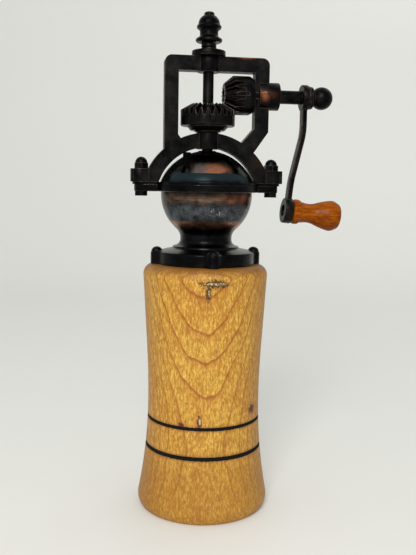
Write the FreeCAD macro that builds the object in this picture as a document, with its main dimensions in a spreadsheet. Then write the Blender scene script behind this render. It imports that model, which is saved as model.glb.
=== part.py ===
import FreeCAD, Part

import math
import os

import Sketcher

# A table-top crank mill. A turned wooden body carries a cast hopper with a pressed dome and a sliding
# door. An open cast frame above holds a crank with a small bevel gear, which drives a large bevel gear
# on the long upright shaft down to the grinding burrs in the foot of the body.
#
# Millimetres, +Z up. The origin is the centre of the body's underside, +X runs along the crank shaft
# and -Y faces the door.

SIZES = {
    # wooden body, a revolved outline
    "body_height": 121.5,
    "body_foot_radius": 30.6,
    "body_belly_radius": 32.5,
    "body_belly_height": 5.9,
    "body_belly_round": 8.0,
    "body_waist_radius": 27.7,
    "body_waist_height": 55.0,
    "body_flare_radius": 28.7,
    "body_flare_height": 85.0,
    "body_top_radius": 30.5,
    "body_top_round": 5.0,
    "body_bore_radius": 13.5,
    "body_recess_radius": 19.0,
    "body_recess_depth": 9.0,
    "body_groove_low": 31.2,
    "body_groove_high": 44.4,
    "body_groove_round": 0.75,
    # hopper bowl
    "flange_radius": 23.8,
    "flange_thick": 6.0,
    "flange_dome_rise": 2.0,
    "flange_dome_radius": 60.0,
    "foot_rim_radius": 15.2,
    "neck_radius": 12.6,
    "neck_low": 133.0,
    "neck_high": 134.8,
    "neck_low_fillet": 3.4,
    "neck_high_fillet": 6.0,
    "bowl_foot_drop": 16.3,
    "cast_edge_round": 0.5,
    "bowl_radius": 22.2,
    "bowl_centre_height": 155.3,
    "bowl_wall": 2.0,
    "rim_radius": 25.1,
    "rim_low": 156.5,
    "rim_high": 159.8,
    "lobe_radius": 3.1,
    "lobe_circle": 24.0,
    "lobe_web": 9.4,
    "lobe_web_reach": 0.8,
    # ears of the bowl, dome and frame, and their screws
    "ear_screw_x": 31.9,
    "ear_width": 9.4,
    "bowl_ear_length": 35.3,
    "dome_ear_length": 36.2,
    "frame_ear_length": 37.0,
    "ear_hole_radius": 1.85,
    "ear_screw_radius": 1.75,
    "ear_head_radius": 3.0,
    "ear_head_height": 2.2,
    "nut_flats": 6.4,
    "nut_hex_height": 2.7,
    "nut_dome_radius": 2.95,
    "nut_height": 5.7,
    "nut_bore_depth": 3.7,
    "slot_width": 0.8,
    "slot_depth": 1.0,
    # dome and door
    "brim_thick": 1.2,
    "dome_radius": 24.5,
    "dome_centre_height": 151.9,
    "dome_wall": 1.0,
    "dome_hole_radius": 4.3,
    "window_low": 165.2,
    "window_high": 173.8,
    "window_start": -135.0,
    "window_sweep": 84.0,
    "door_gap": 0.3,
    "door_wall": 0.9,
    "door_low": 163.6,
    "door_start": -141.0,
    "door_sweep": 96.0,
    "door_hub_radius": 6.6,
    "door_collar_radius": 4.22,
    "door_collar_top": 176.3,
    "door_bore_radius": 3.0,
    "tab_angle": -129.5,
    "tab_thick": 1.6,
    "tab_low": 168.4,
    "tab_high": 173.2,
    "tab_reach": 20.6,
    "tab_lip_length": 4.5,
    "tab_lip_rise": 1.6,
    # frame
    "frame_depth": 6.2,
    "frame_top": 220.7,
    "frame_window_top": 213.7,
    "frame_left_out": 21.25,
    "frame_left_in": 14.6,
    "frame_right_in": 22.45,
    "frame_right_out": 29.4,
    "frame_corner": 3.5,
    "frame_jog_in_x": 16.5,
    "frame_jog_in_z": 187.3,
    "frame_jog_out_x": 22.4,
    "frame_jog_out_z": 185.8,
    "frame_notch_width": 1.3,
    "frame_notch_rise": 1.7,
    "arch_centre_height": 152.9,
    "arch_in": 25.0,
    "arch_out": 32.0,
    "frame_ear_thick": 6.2,
    "post_boss_radius": 5.4,
    "arch_boss_low": 177.1,
    "arch_boss_high": 185.25,
    "top_boss_low": 213.4,
    "crank_boss_radius": 6.6,
    "crank_boss_start": 24.3,
    "crank_boss_end": 34.4,
    # upright shaft and what is on it
    "post_radius": 2.6,
    "post_bore_radius": 2.68,
    "rod_radius": 2.0,
    "rod_step_height": 170.0,
    "square_side": 3.6,
    "square_low": 8.2,
    "square_high": 33.0,
    "tip_radius": 1.7,
    "tip_low": 3.2,
    "clip_groove_low": 7.0,
    "clip_groove_width": 0.8,
    "clip_groove_depth": 0.35,
    "clip_radius": 3.3,
    "clip_thick": 0.7,
    "clip_gap": 1.6,
    "thread_radius": 2.0,
    "thread_low": 226.3,
    "thread_top": 238.0,
    "thread_play": 0.06,
    "bush_radius": 8.1,
    "bush_disc_low": 220.7,
    "bush_disc_high": 223.4,
    "bush_collar_radius": 3.9,
    "bush_collar_top": 224.7,
    "bush_sleeve_radius": 3.8,
    "finial_low": 227.3,
    "finial_top": 241.6,
    "finial_foot_radius": 5.6,
    "finial_disc_radius": 5.9,
    "finial_waist_radius": 4.4,
    "finial_bulb_radius": 5.5,
    "finial_shoulder_radius": 5.1,
    "finial_button_radius": 2.4,
    "pole_flat": 0.6,
    "spring_radius": 3.2,
    "spring_wire": 0.45,
    "spring_turns": 2.5,
    "washer_radius": 6.4,
    "washer_thick": 0.7,
    # bevel gears
    "module": 1.045,
    "crown_teeth": 24,
    "pinion_teeth": 16,
    "pressure_angle": 20.0,
    "backlash": 0.16,
    "tooth_inner_share": 0.6,
    "crown_face_step": 0.9,
    "crown_recess_depth": 1.7,
    "crank_height": 203.1,
    "crown_hub_radius": 8.3,
    "crown_cone_radius": 9.9,
    "crown_cone_height": 187.7,
    "crown_low": 188.0,
    "crown_recess_radius": 6.6,
    "pinion_back": 21.9,
    "pinion_back_cone": 2.0,
    "pinion_back_chamfer": 1.2,
    "key_width": 1.6,
    "key_radius": 3.6,
    "key_root": 1.7,
    "keyway_root": 1.6,
    "key_low": 187.4,
    "key_high": 195.0,
    "key_play": 0.06,
    # crank
    "crank_radius": 3.25,
    "crank_bore_radius": 3.32,
    "crank_start": 8.4,
    "pin_radius": 0.9,
    "pin_length": 17.6,
    "pin_x": 17.8,
    "ring_radius": 6.2,
    "ring_start": 46.1,
    "ring_end": 49.2,
    "arm_thick": 2.3,
    "arm_width": 5.5,
    "arm_bend_top": 190.0,
    "arm_bend_low": 182.0,
    "arm_straight_low": 165.5,
    "arm_turn_low": 159.0,
    "arm_slope": 13.2,
    "grip_tilt": 6.0,
    "eye_radius": 6.2,
    "eye_thick": 4.2,
    "eye_height": 147.9,
    "eye_x": 40.6,
    "washer_crank_radius": 5.6,
    "washer_crank_thick": 1.1,
    "ball_radius": 5.5,
    "ball_x": 56.5,
    "ball_low": 3.8,
    "nut_foot_radius": 5.4,
    "nut_waist_radius": 3.8,
    "nut_hole_depth": 4.4,
    # wooden grip, measured along its own axis from the eye
    "grip_start": 2.4,
    "grip_length": 24.6,
    "grip_bead_radius": 6.2,
    "grip_neck_radius": 4.75,
    "grip_end_radius": 7.6,
    "grip_pin_radius": 2.0,
    "grip_pin_head": 0.9,
    "grip_pin_sunk": 1.2,
    "grip_rivet_overhang": 1.3,
    "grip_rivet_thick": 1.1,
    "grip_recess_radius": 3.6,
    "grip_recess_depth": 2.5,
    "grip_bore_radius": 2.07,
    # grinding burrs
    "burr_flange_radius": 18.5,
    "burr_flange_thick": 3.0,
    "burr_top": 30.0,
    "burr_mouth_radius": 8.6,
    "burr_throat_radius": 11.4,
    "cone_low": 8.5,
    "cone_top": 32.0,
    "cone_top_radius": 5.4,
    "cone_low_radius": 10.2,
    "cone_skirt": 4.0,
    "burr_slots": 18,
    "burr_slot_width": 1.6,
    "burr_slot_depth": 0.6,
    "burr_mouth_rim": 2.4,
    "burr_mouth_height": 4.0,
    "cone_slots": 12,
    "cone_slot_width": 1.3,
    "cone_slot_depth": 1.4,
    "bridge_thick": 3.0,
    "bridge_width": 8.0,
    "bridge_hub_radius": 5.2,
    "bridge_screw_x": 15.9,
    "bridge_screw_radius": 1.4,
    "bridge_screw_length": 17.0,
    "bridge_head_radius": 2.6,
    "bridge_head_height": 1.6,
    # screws in the lobes
    "wood_screw_radius": 1.25,
    "wood_screw_length": 15.0,
    "wood_head_radius": 2.75,
    "wood_head_height": 2.4,
}

doc = FreeCAD.newDocument("crank_mill")
sheet = doc.addObject("Spreadsheet::Sheet", "sizes")
for row, (alias, number) in enumerate(SIZES.items(), start=1):
    sheet.set(f"A{row}", alias)
    sheet.set(f"B{row}", str(number))
    sheet.setAlias(f"B{row}", alias)
doc.recompute()


class Size(float):
    """A number that remembers the sheet formula it came from."""

    def __new__(cls, number, formula=None):
        size = super().__new__(cls, number)
        size.formula = formula or repr(float(number))
        return size

    def __add__(self, other):
        return joined(self, "+", other, float(self) + float(other))

    def __radd__(self, other):
        return joined(other, "+", self, float(other) + float(self))

    def __sub__(self, other):
        return joined(self, "-", other, float(self) - float(other))

    def __rsub__(self, other):
        return joined(other, "-", self, float(other) - float(self))

    def __mul__(self, other):
        return joined(self, "*", other, float(self) * float(other))

    def __rmul__(self, other):
        return joined(other, "*", self, float(other) * float(self))

    def __truediv__(self, other):
        return joined(self, "/", other, float(self) / float(other))

    def __neg__(self):
        return Size(-float(self), f"(-1 * {self.formula})")


def formula_of(value):
    return value.formula if isinstance(value, Size) else repr(float(value))


def joined(left, sign, right, number):
    return Size(number, f"({formula_of(left)} {sign} {formula_of(right)})")


def root_of(square):
    """Square root of a size, as a size."""
    return Size(math.sqrt(square), f"sqrt({formula_of(square)})")


class Sheet:
    """The sheet's cells, read as sizes by name."""

    def __getattr__(self, alias):
        return Size(float(getattr(sheet, alias)), f"sizes.{alias}")


S = Sheet()
NODES = []
QUARTERS = ((1, 0), (0, 1), (-1, 0), (0, -1))
SIDES = ((1, "right"), (-1, "left"))


def bind(item, name, value):
    """Set a number on an object and tie it to the sheet."""
    if "." not in name and "[" not in name:
        setattr(item, name, float(value))
    if "sizes." in formula_of(value):
        item.setExpression(name, formula_of(value))


def node(name, item):
    """Register an object as one finished piece under its own name."""
    item.Label = name
    NODES.append(item)
    return item


def across(radius, along):
    """Half width of a circle of this radius at a distance from its centre."""
    return root_of(radius * radius - along * along)


# ---------------------------------------------------------------- sketches and features

class Outline:
    """A closed line of straight and round stretches in a sketch, every corner tied to the sheet."""

    def __init__(self, first, second):
        self.corners = [(first, second)]
        self.radii = []
        self.closing = None

    def to(self, first, second, radius=None):
        """Go to a point, straight, or on an arc. A positive radius turns left, a negative one right."""
        self.corners.append((first, second))
        self.radii.append(radius)
        return self

    def close(self, radius):
        """Return to the first corner on an arc."""
        self.closing = radius
        return self

    def draw(self, sketch):
        """Add the outline to a sketch. Its last stretch is straight unless close() gave it a radius."""
        count = len(self.corners)
        radii = self.radii + [self.closing]
        ends = []
        for number in range(count):
            start = FreeCAD.Vector(*map(float, self.corners[number]), 0)
            finish = FreeCAD.Vector(*map(float, self.corners[(number + 1) % count]), 0)
            if radii[number] is None:
                index = sketch.addGeometry(Part.LineSegment(start, finish), False)
                ends.append((index, 1, 2))
                continue
            index = sketch.addGeometry(arc_between(start, finish, float(radii[number])), False)
            ends.append((index, 1, 2) if radii[number] > 0 else (index, 2, 1))
            fixed = sketch.addConstraint(Sketcher.Constraint("Radius", index, abs(float(radii[number]))))
            size = radii[number] if radii[number] > 0 else -radii[number]
            bind(sketch, f"Constraints[{fixed}]", size)
        for number, (index, start, _) in enumerate(ends):
            before = ends[number - 1]
            sketch.addConstraint(Sketcher.Constraint("Coincident", before[0], before[2], index, start))
            place_point(sketch, index, start, *self.corners[number])


def arc_between(start, finish, radius):
    """The short arc between two points, its centre to the left for a positive radius."""
    chord = finish - start
    half = chord.Length / 2
    side = FreeCAD.Vector(-chord.y, chord.x, 0).normalize()
    reach = math.sqrt(max(radius * radius - half * half, 0.0))
    centre = start + chord / 2 + side * math.copysign(reach, radius)
    circle = Part.Circle(centre, FreeCAD.Vector(0, 0, 1), abs(radius))
    first, last = (start, finish) if radius > 0 else (finish, start)
    return Part.ArcOfCircle(circle, circle.parameter(first), circle.parameter(last))


def place_point(sketch, index, end, first, second):
    """Hold one point of a sketch at two sizes from the origin."""
    for kind, axis, value in (("DistanceX", -2, first), ("DistanceY", -1, second)):
        if abs(value) < 1e-9:
            sketch.addConstraint(Sketcher.Constraint("PointOnObject", index, end, axis))
            continue
        fixed = sketch.addConstraint(Sketcher.Constraint(kind, index, end, float(value)))
        bind(sketch, f"Constraints[{fixed}]", value)


def circle_in(sketch, first, second, radius):
    """Add a circle whose centre and radius are tied to the sheet."""
    centre = FreeCAD.Vector(float(first), float(second), 0)
    index = sketch.addGeometry(Part.Circle(centre, FreeCAD.Vector(0, 0, 1), float(radius)), False)
    fixed = sketch.addConstraint(Sketcher.Constraint("Radius", index, float(radius)))
    bind(sketch, f"Constraints[{fixed}]", radius)
    place_point(sketch, index, 3, first, second)


def new_body(name):
    return doc.addObject("PartDesign::Body", name)


def new_sketch(body, name, plane, lift=None):
    """A sketch on one of the body's origin planes, moved along the plane's normal by lift."""
    sketch = body.newObject("Sketcher::SketchObject", name)
    base = next(item for item in body.Origin.OriginFeatures if item.Role == plane)
    sketch.AttachmentSupport = [(base, "")]
    sketch.MapMode = "FlatFace"
    if lift is not None:
        sketch.AttachmentOffset = FreeCAD.Placement(FreeCAD.Vector(0, 0, float(lift)), FreeCAD.Rotation())
        bind(sketch, "AttachmentOffset.Base.z", lift)
    return sketch


def revolve(body, name, outline, kind="PartDesign::Revolution"):
    """Turn an outline of radius and height about Z."""
    sketch = new_sketch(body, name + "_outline", "XZ_Plane")
    outline.draw(sketch)
    turned = body.newObject(kind, name)
    turned.Profile = sketch
    turned.ReferenceAxis = (sketch, ["V_Axis"])
    turned.Angle = 360
    doc.recompute()
    return turned


def pad(body, name, sketch, length, both_ways=False):
    item = body.newObject("PartDesign::Pad", name)
    item.Profile = sketch
    bind(item, "Length", length)
    item.Midplane = both_ways
    doc.recompute()
    return item


def pocket(body, name, sketch, length, both_ways=False):
    """Cut a sketch into the body and make sure that it removed something."""
    before = body.Shape.Volume
    item = body.newObject("PartDesign::Pocket", name)
    item.Profile = sketch
    bind(item, "Length", length)
    item.Midplane = both_ways
    doc.recompute()
    if body.Shape.Volume > before - 1e-6:
        item.Reversed = True
        doc.recompute()
    if body.Shape.Volume > before - 1e-6:
        raise RuntimeError(f"{name} cuts nothing")
    return item


def around(body, name, feature, count):
    """Repeat a feature in a circle about Z."""
    pattern = body.newObject("PartDesign::PolarPattern", name)
    pattern.Originals = [feature]
    axis = next(item for item in body.Origin.OriginFeatures if item.Role == "Z_Axis")
    pattern.Axis = (axis, [""])
    pattern.Angle = 360
    pattern.Occurrences = int(count)
    body.Tip = pattern
    doc.recompute()
    return pattern


def slot_plate(body, name, low, thick, centre, end, width):
    """Two round-ended ears on both sides of the Z axis, each a pad from the middle outwards."""
    for side, word in SIDES:
        sketch = new_sketch(body, f"{name}_{word}_outline", "XY_Plane", low)
        half = width / 2
        tip = end - half
        plate = Outline(side * centre, -side * half)
        plate.to(side * tip, -side * half)
        plate.to(side * end, 0, half)
        plate.to(side * tip, side * half, half)
        plate.to(side * centre, side * half)
        plate.draw(sketch)
        pad(body, f"{name}_{word}", sketch, thick)


# ---------------------------------------------------------------- primitives and booleans

def placed(item, x=0.0, y=0.0, z=0.0, turn=None):
    """Put an object at three sizes, after an optional turn."""
    base = FreeCAD.Vector(float(x), float(y), float(z))
    item.Placement = FreeCAD.Placement(base, turn or FreeCAD.Rotation())
    for letter, value in (("x", x), ("y", y), ("z", z)):
        bind(item, f"Placement.Base.{letter}", value)
    return item


TO_X = FreeCAD.Rotation(FreeCAD.Vector(0, 1, 0), 90)


def cylinder(name, radius, height, x=0.0, y=0.0, z=0.0, turn=None):
    item = doc.addObject("Part::Cylinder", name)
    bind(item, "Radius", radius)
    bind(item, "Height", height)
    return placed(item, x, y, z, turn)


def sector(name, radius, height, start, sweep, z):
    """A wedge of a cylinder about Z."""
    item = cylinder(name, radius, height, z=z)
    bind(item, "Angle", sweep)
    item.Placement = FreeCAD.Placement(
        item.Placement.Base, FreeCAD.Rotation(FreeCAD.Vector(0, 0, 1), float(start)))
    bind(item, "Placement.Rotation.Angle", start)
    return item


def block(name, length, width, height, x, y, z, turn=None):
    item = doc.addObject("Part::Box", name)
    bind(item, "Length", length)
    bind(item, "Width", width)
    bind(item, "Height", height)
    return placed(item, x, y, z, turn)


def fused(name, *pieces):
    item = doc.addObject("Part::MultiFuse", name)
    item.Shapes = list(pieces)
    return item


def less(name, base, *tools):
    """Base without the tools."""
    item = doc.addObject("Part::Cut", name)
    item.Base = base
    item.Tool = tools[0] if len(tools) == 1 else fused(name + "_tools", *tools)
    return item


def shared(name, *pieces):
    item = doc.addObject("Part::MultiCommon", name)
    item.Shapes = list(pieces)
    return item


def turned_piece(name, outline):
    """A body made of one revolved outline."""
    body = new_body(name)
    revolve(body, name + "_turned", outline)
    return body


# ---------------------------------------------------------------- wooden body

def make_wood_body():
    drop = S.body_waist_height - S.body_belly_height
    narrowing = S.body_belly_radius - S.body_waist_radius
    low_sweep = (narrowing * narrowing + drop * drop) / (narrowing * 2)
    rise = S.body_flare_height - S.body_waist_height
    widening = S.body_flare_radius - S.body_waist_radius
    high_sweep = (widening * widening + rise * rise) / (widening * 2)
    outline = Outline(S.body_recess_radius, 0)
    outline.to(S.body_foot_radius, 0)
    outline.to(S.body_belly_radius, S.body_belly_height, S.body_belly_round)
    outline.to(S.body_waist_radius, S.body_waist_height, -low_sweep)
    outline.to(S.body_flare_radius, S.body_flare_height, -high_sweep)
    outline.to(S.body_top_radius, S.body_height - S.body_top_round)
    outline.to(S.body_top_radius - S.body_top_round, S.body_height, S.body_top_round)
    outline.to(S.body_bore_radius, S.body_height)
    outline.to(S.body_bore_radius, S.body_recess_depth)
    outline.to(S.body_recess_radius, S.body_recess_depth)
    body = new_body("wood_body")
    revolve(body, "body_turned", outline)

    grooves = new_sketch(body, "burnt_grooves_outline", "XZ_Plane")
    for height in (S.body_groove_low, S.body_groove_high):
        below_waist = S.body_waist_height - height
        surface = S.body_waist_radius + low_sweep - across(low_sweep, below_waist)
        circle_in(grooves, surface + 0.1, height, S.body_groove_round)
    cut = body.newObject("PartDesign::Groove", "burnt_grooves")
    cut.Profile = grooves
    cut.ReferenceAxis = (grooves, ["V_Axis"])
    cut.Angle = 360
    doc.recompute()

    top_holes = new_sketch(body, "lobe_screw_holes", "XY_Plane", S.body_height)
    for x, y in QUARTERS:
        circle_in(top_holes, S.lobe_circle * x, S.lobe_circle * y, S.wood_screw_radius)
    pocket(body, "lobe_screw_pilots", top_holes, S.wood_screw_length - S.flange_thick)

    low_holes = new_sketch(body, "bridge_screw_holes", "XY_Plane", S.body_recess_depth)
    for side in (1, -1):
        circle_in(low_holes, S.bridge_screw_x * side, 0, S.bridge_screw_radius)
    depth = S.bridge_screw_length - S.bridge_thick - S.burr_flange_thick
    pilots = pocket(body, "bridge_screw_pilots", low_holes, depth)
    pilots.Reversed = True
    return node("wood_body", body)


# ---------------------------------------------------------------- hopper

def make_hopper_bowl():
    base = S.body_height
    inner = S.bowl_radius - S.bowl_wall
    neck_bore = S.neck_radius - S.bowl_wall
    centre = S.bowl_centre_height
    edge = S.cast_edge_round
    outline = Outline(neck_bore, base)
    outline.to(S.flange_radius, base)
    outline.to(S.flange_radius, base + S.flange_thick - edge)
    outline.to(S.flange_radius - edge, base + S.flange_thick, edge)
    outline.to(S.foot_rim_radius, base + S.flange_thick + S.flange_dome_rise, S.flange_dome_radius)
    outline.to(S.neck_radius, S.neck_low, -S.neck_low_fillet)
    outline.to(S.neck_radius, S.neck_high)
    outline.to(across(S.bowl_radius, S.bowl_foot_drop), centre - S.bowl_foot_drop, -S.neck_high_fillet)
    outline.to(across(S.bowl_radius, S.rim_low - centre), S.rim_low, S.bowl_radius)
    outline.to(S.rim_radius - edge, S.rim_low)
    outline.to(S.rim_radius, S.rim_low + edge, edge)
    outline.to(S.rim_radius, S.rim_high)
    outline.to(across(inner, S.rim_high - centre), S.rim_high)
    outline.to(inner, centre, -inner)
    outline.to(neck_bore, centre - across(inner, neck_bore), -inner)
    body = new_body("hopper_bowl")
    revolve(body, "bowl_turned", outline)

    lobes = new_sketch(body, "lobe_circles", "XY_Plane", base)
    for x, y in QUARTERS:
        circle_in(lobes, S.lobe_circle * x, S.lobe_circle * y, S.lobe_radius)
    pad(body, "lobes", lobes, S.flange_thick)
    web = new_sketch(body, "lobe_web_outline", "XY_Plane", base)
    half = S.lobe_web / 2
    foot = across(S.flange_radius, half)
    tip = S.lobe_circle + S.lobe_web_reach
    tip_half = across(S.lobe_radius, S.lobe_web_reach)
    outline = Outline(S.neck_radius, -half)
    outline.to(foot, -half)
    outline.to(tip, -tip_half)
    outline.to(tip, tip_half)
    outline.to(foot, half)
    outline.to(S.neck_radius, half)
    outline.draw(web)
    around(body, "lobe_webs", pad(body, "lobe_web", web, S.flange_thick - edge), 4)

    slot_plate(body, "bowl_ear", S.rim_low, S.rim_high - S.rim_low, S.bowl_radius, S.bowl_ear_length,
               S.ear_width)

    holes = new_sketch(body, "bowl_screw_holes", "XY_Plane", S.rim_high)
    for side in (1, -1):
        circle_in(holes, S.ear_screw_x * side, 0, S.ear_hole_radius)
    pocket(body, "bowl_ear_holes", holes, S.rim_high - S.rim_low)
    holes = new_sketch(body, "lobe_holes_outline", "XY_Plane", base + S.flange_thick)
    for x, y in QUARTERS:
        circle_in(holes, S.lobe_circle * x, S.lobe_circle * y, S.wood_screw_radius + 0.15)
    pocket(body, "lobe_holes", holes, S.flange_thick)
    seats = new_sketch(body, "lobe_seats_outline", "XY_Plane", base + S.flange_thick + S.wood_head_height)
    for x, y in QUARTERS:
        circle_in(seats, S.lobe_circle * x, S.lobe_circle * y, S.wood_head_radius + 0.1)
    pocket(body, "lobe_seats", seats, S.wood_head_height)
    return node("hopper_bowl", body)


def make_hopper_dome():
    centre = S.dome_centre_height
    outer = S.dome_radius
    inner = outer - S.dome_wall
    brim_top = S.rim_high + S.brim_thick
    outline = Outline(across(inner, S.rim_high - centre), S.rim_high)
    outline.to(S.rim_radius, S.rim_high)
    outline.to(S.rim_radius, brim_top)
    outline.to(across(outer, brim_top - centre), brim_top)
    outline.to(S.dome_hole_radius, centre + across(outer, S.dome_hole_radius), outer)
    outline.to(S.dome_hole_radius, centre + across(inner, S.dome_hole_radius))
    outline.close(-inner)
    body = new_body("dome_shell")
    revolve(body, "dome_turned", outline)
    slot_plate(body, "dome_ear", S.rim_high, S.brim_thick, S.rim_radius - 1, S.dome_ear_length, S.ear_width)
    holes = new_sketch(body, "dome_screw_holes", "XY_Plane", brim_top)
    for side in (1, -1):
        circle_in(holes, S.ear_screw_x * side, 0, S.ear_hole_radius)
    pocket(body, "dome_ear_holes", holes, S.brim_thick)
    window = sector("fill_window", outer + 2, S.window_high - S.window_low, S.window_start, S.window_sweep,
                    S.window_low)
    return node("hopper_dome", less("dome_with_window", body, window))


def make_dome_door():
    centre = S.dome_centre_height
    outer = S.dome_radius - S.dome_wall - S.door_gap
    inner = outer - S.door_wall
    outline = Outline(S.door_bore_radius, centre + across(inner, S.door_bore_radius))
    outline.to(across(inner, S.door_low - centre), S.door_low, -inner)
    outline.to(across(outer, S.door_low - centre), S.door_low)
    outline.to(S.door_collar_radius, centre + across(outer, S.door_collar_radius), outer)
    outline.to(S.door_collar_radius, S.door_collar_top)
    outline.to(S.door_bore_radius, S.door_collar_top)
    shell = turned_piece("door_shell", outline)
    height = S.door_collar_top - S.door_low + 1
    leaf = sector("door_leaf", outer + 1, height, S.door_start, S.door_sweep, S.door_low)
    hub = cylinder("door_hub", S.door_hub_radius, height, z=S.door_low)
    plate = shared("door_plate", shell, fused("door_extent", leaf, hub))

    middle = (S.tab_low + S.tab_high) / 2
    root = across(inner, middle - centre) - 1.2
    turn = FreeCAD.Rotation(FreeCAD.Vector(0, 0, 1), float(S.tab_angle))
    sideways = turn.multVec(FreeCAD.Vector(float(root), -float(S.tab_thick) / 2, 0))
    tab = block("door_tab_block", S.tab_reach - root, S.tab_thick, S.tab_high - S.tab_low,
                sideways.x, sideways.y, S.tab_low, turn)
    lip_at = turn.multVec(FreeCAD.Vector(float(S.tab_reach - S.tab_lip_length), -float(S.tab_thick) / 2, 0))
    lip = block("door_tab_lip", S.tab_lip_length, S.tab_thick, S.tab_lip_rise + 1, lip_at.x, lip_at.y,
                S.tab_high - 1, turn)
    cavity = doc.addObject("Part::Sphere", "door_cavity")
    bind(cavity, "Radius", inner + 0.2)
    placed(cavity, z=centre)
    handle = less("door_tab", fused("door_tab_whole", tab, lip), cavity)
    return node("dome_door", fused("door_with_tab", plate, handle))


# ---------------------------------------------------------------- frame and its screws

def make_yoke_frame():
    low = S.rim_high + S.brim_thick
    high = low + S.frame_ear_thick
    centre = S.arch_centre_height
    out_x = across(S.arch_out, high - centre)
    in_x = across(S.arch_in, low - centre)
    left_z = centre + across(S.arch_out, S.frame_left_out)
    jog_z = centre + across(S.arch_out, S.frame_jog_out_x)
    corner = S.frame_corner
    edge = Outline(-S.frame_ear_length, low)
    edge.to(-in_x, low)
    edge.to(0, centre + S.arch_in, -S.arch_in)
    edge.to(in_x, low, -S.arch_in)
    edge.to(S.frame_ear_length, low)
    edge.to(S.frame_ear_length, high)
    edge.to(out_x, high)
    edge.to(S.frame_jog_out_x, jog_z, S.arch_out)
    edge.to(S.frame_right_out, S.frame_jog_out_z)
    edge.to(S.frame_right_out, S.frame_top - corner)
    edge.to(S.frame_right_out - corner, S.frame_top, corner)
    edge.to(corner - S.frame_left_out, S.frame_top)
    edge.to(-S.frame_left_out, S.frame_top - corner, corner)
    edge.to(-S.frame_left_out, left_z)
    edge.to(-out_x, high, S.arch_out)
    edge.to(-S.frame_ear_length, high)

    body = new_body("frame_bars")
    sketch = new_sketch(body, "frame_edge", "XZ_Plane")
    edge.draw(sketch)
    pad(body, "frame_plate", sketch, S.frame_depth, both_ways=True)

    jog_in_z = centre + across(S.arch_out, S.frame_jog_in_x)
    notch_x = S.frame_notch_width - S.frame_left_in
    notch_z = centre + across(S.arch_out, notch_x)
    window = Outline(-S.frame_left_in, S.frame_window_top)
    window.to(-S.frame_left_in, notch_z + S.frame_notch_rise)
    window.to(notch_x, notch_z)
    window.to(S.frame_jog_in_x, jog_in_z, -S.arch_out)
    window.to(S.frame_right_in, S.frame_jog_in_z)
    window.to(S.frame_right_in, S.frame_window_top)
    sketch = new_sketch(body, "frame_window_edge", "XZ_Plane")
    window.draw(sketch)
    pocket(body, "frame_window", sketch, S.frame_depth * 2, both_ways=True)

    slot_plate(body, "frame_ear", low, S.frame_ear_thick, S.arch_out - 3.5, S.frame_ear_length, S.ear_width)
    holes = new_sketch(body, "frame_screw_holes", "XY_Plane", high)
    for side in (1, -1):
        circle_in(holes, S.ear_screw_x * side, 0, S.ear_hole_radius)
    pocket(body, "frame_ear_holes", holes, S.frame_ear_thick)

    top_boss = cylinder("top_boss", S.post_boss_radius, S.frame_top - S.top_boss_low, z=S.top_boss_low)
    arch_boss = cylinder("arch_boss", S.post_boss_radius, S.arch_boss_high - S.arch_boss_low,
                         z=S.arch_boss_low)
    crank_boss = cylinder("crank_boss", S.crank_boss_radius, S.crank_boss_end - S.crank_boss_start,
                          S.crank_boss_start, 0, S.crank_height, TO_X)
    inside = cylinder("arch_clearance", S.arch_in - 0.6, S.frame_depth * 4, 0, S.frame_depth * 2, centre,
                      FreeCAD.Rotation(FreeCAD.Vector(1, 0, 0), 90))
    solid = less("frame_solid", fused("frame_with_bosses", body, top_boss, arch_boss, crank_boss), inside)
    sleeve_hole = cylinder("bush_hole", S.bush_sleeve_radius, S.frame_top - S.top_boss_low + 2,
                           z=S.top_boss_low - 1)
    post_hole = cylinder("post_hole", S.post_bore_radius, 12, z=S.arch_boss_low - 2)
    crank_hole = cylinder("crank_hole", S.crank_bore_radius, S.crank_boss_end - S.frame_right_in + 2,
                          S.frame_right_in - 1, 0, S.crank_height, TO_X)
    return node("yoke_frame", less("frame_bored", solid, sleeve_hole, post_hole, crank_hole))


def pair_in_x(name, make, distance):
    """The same piece at two places on the X axis, as one group of separate solids."""
    return compound(name, make(f"{name}_right", distance), make(f"{name}_left", -distance))


def compound(name, *pieces):
    item = doc.addObject("Part::Compound", name)
    item.Links = list(pieces)
    return item


def slot_across(name, head_radius, x, y, z):
    """The cutter for a driver's slot across a head, twice the slot's depth high from z."""
    return block(name + "_slot", head_radius * 3, S.slot_width, S.slot_depth * 2, x - head_radius * 1.5,
                 y - S.slot_width / 2, z)


def make_yoke_screws():
    under = S.rim_low - S.ear_head_height
    top = S.rim_high + S.brim_thick + S.frame_ear_thick + S.nut_bore_depth - 0.1

    def screw(name, x):
        head = cylinder(name + "_head", S.ear_head_radius, S.ear_head_height, x, 0, under)
        shank = cylinder(name + "_shank", S.ear_screw_radius, top - S.rim_low + 1, x, 0, S.rim_low - 1)
        slot = slot_across(name, S.ear_head_radius, x, 0, under - S.slot_depth)
        return less(name, fused(name + "_whole", head, shank), slot)
    return node("yoke_screws", pair_in_x("clamp_screw", screw, S.ear_screw_x))


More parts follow.
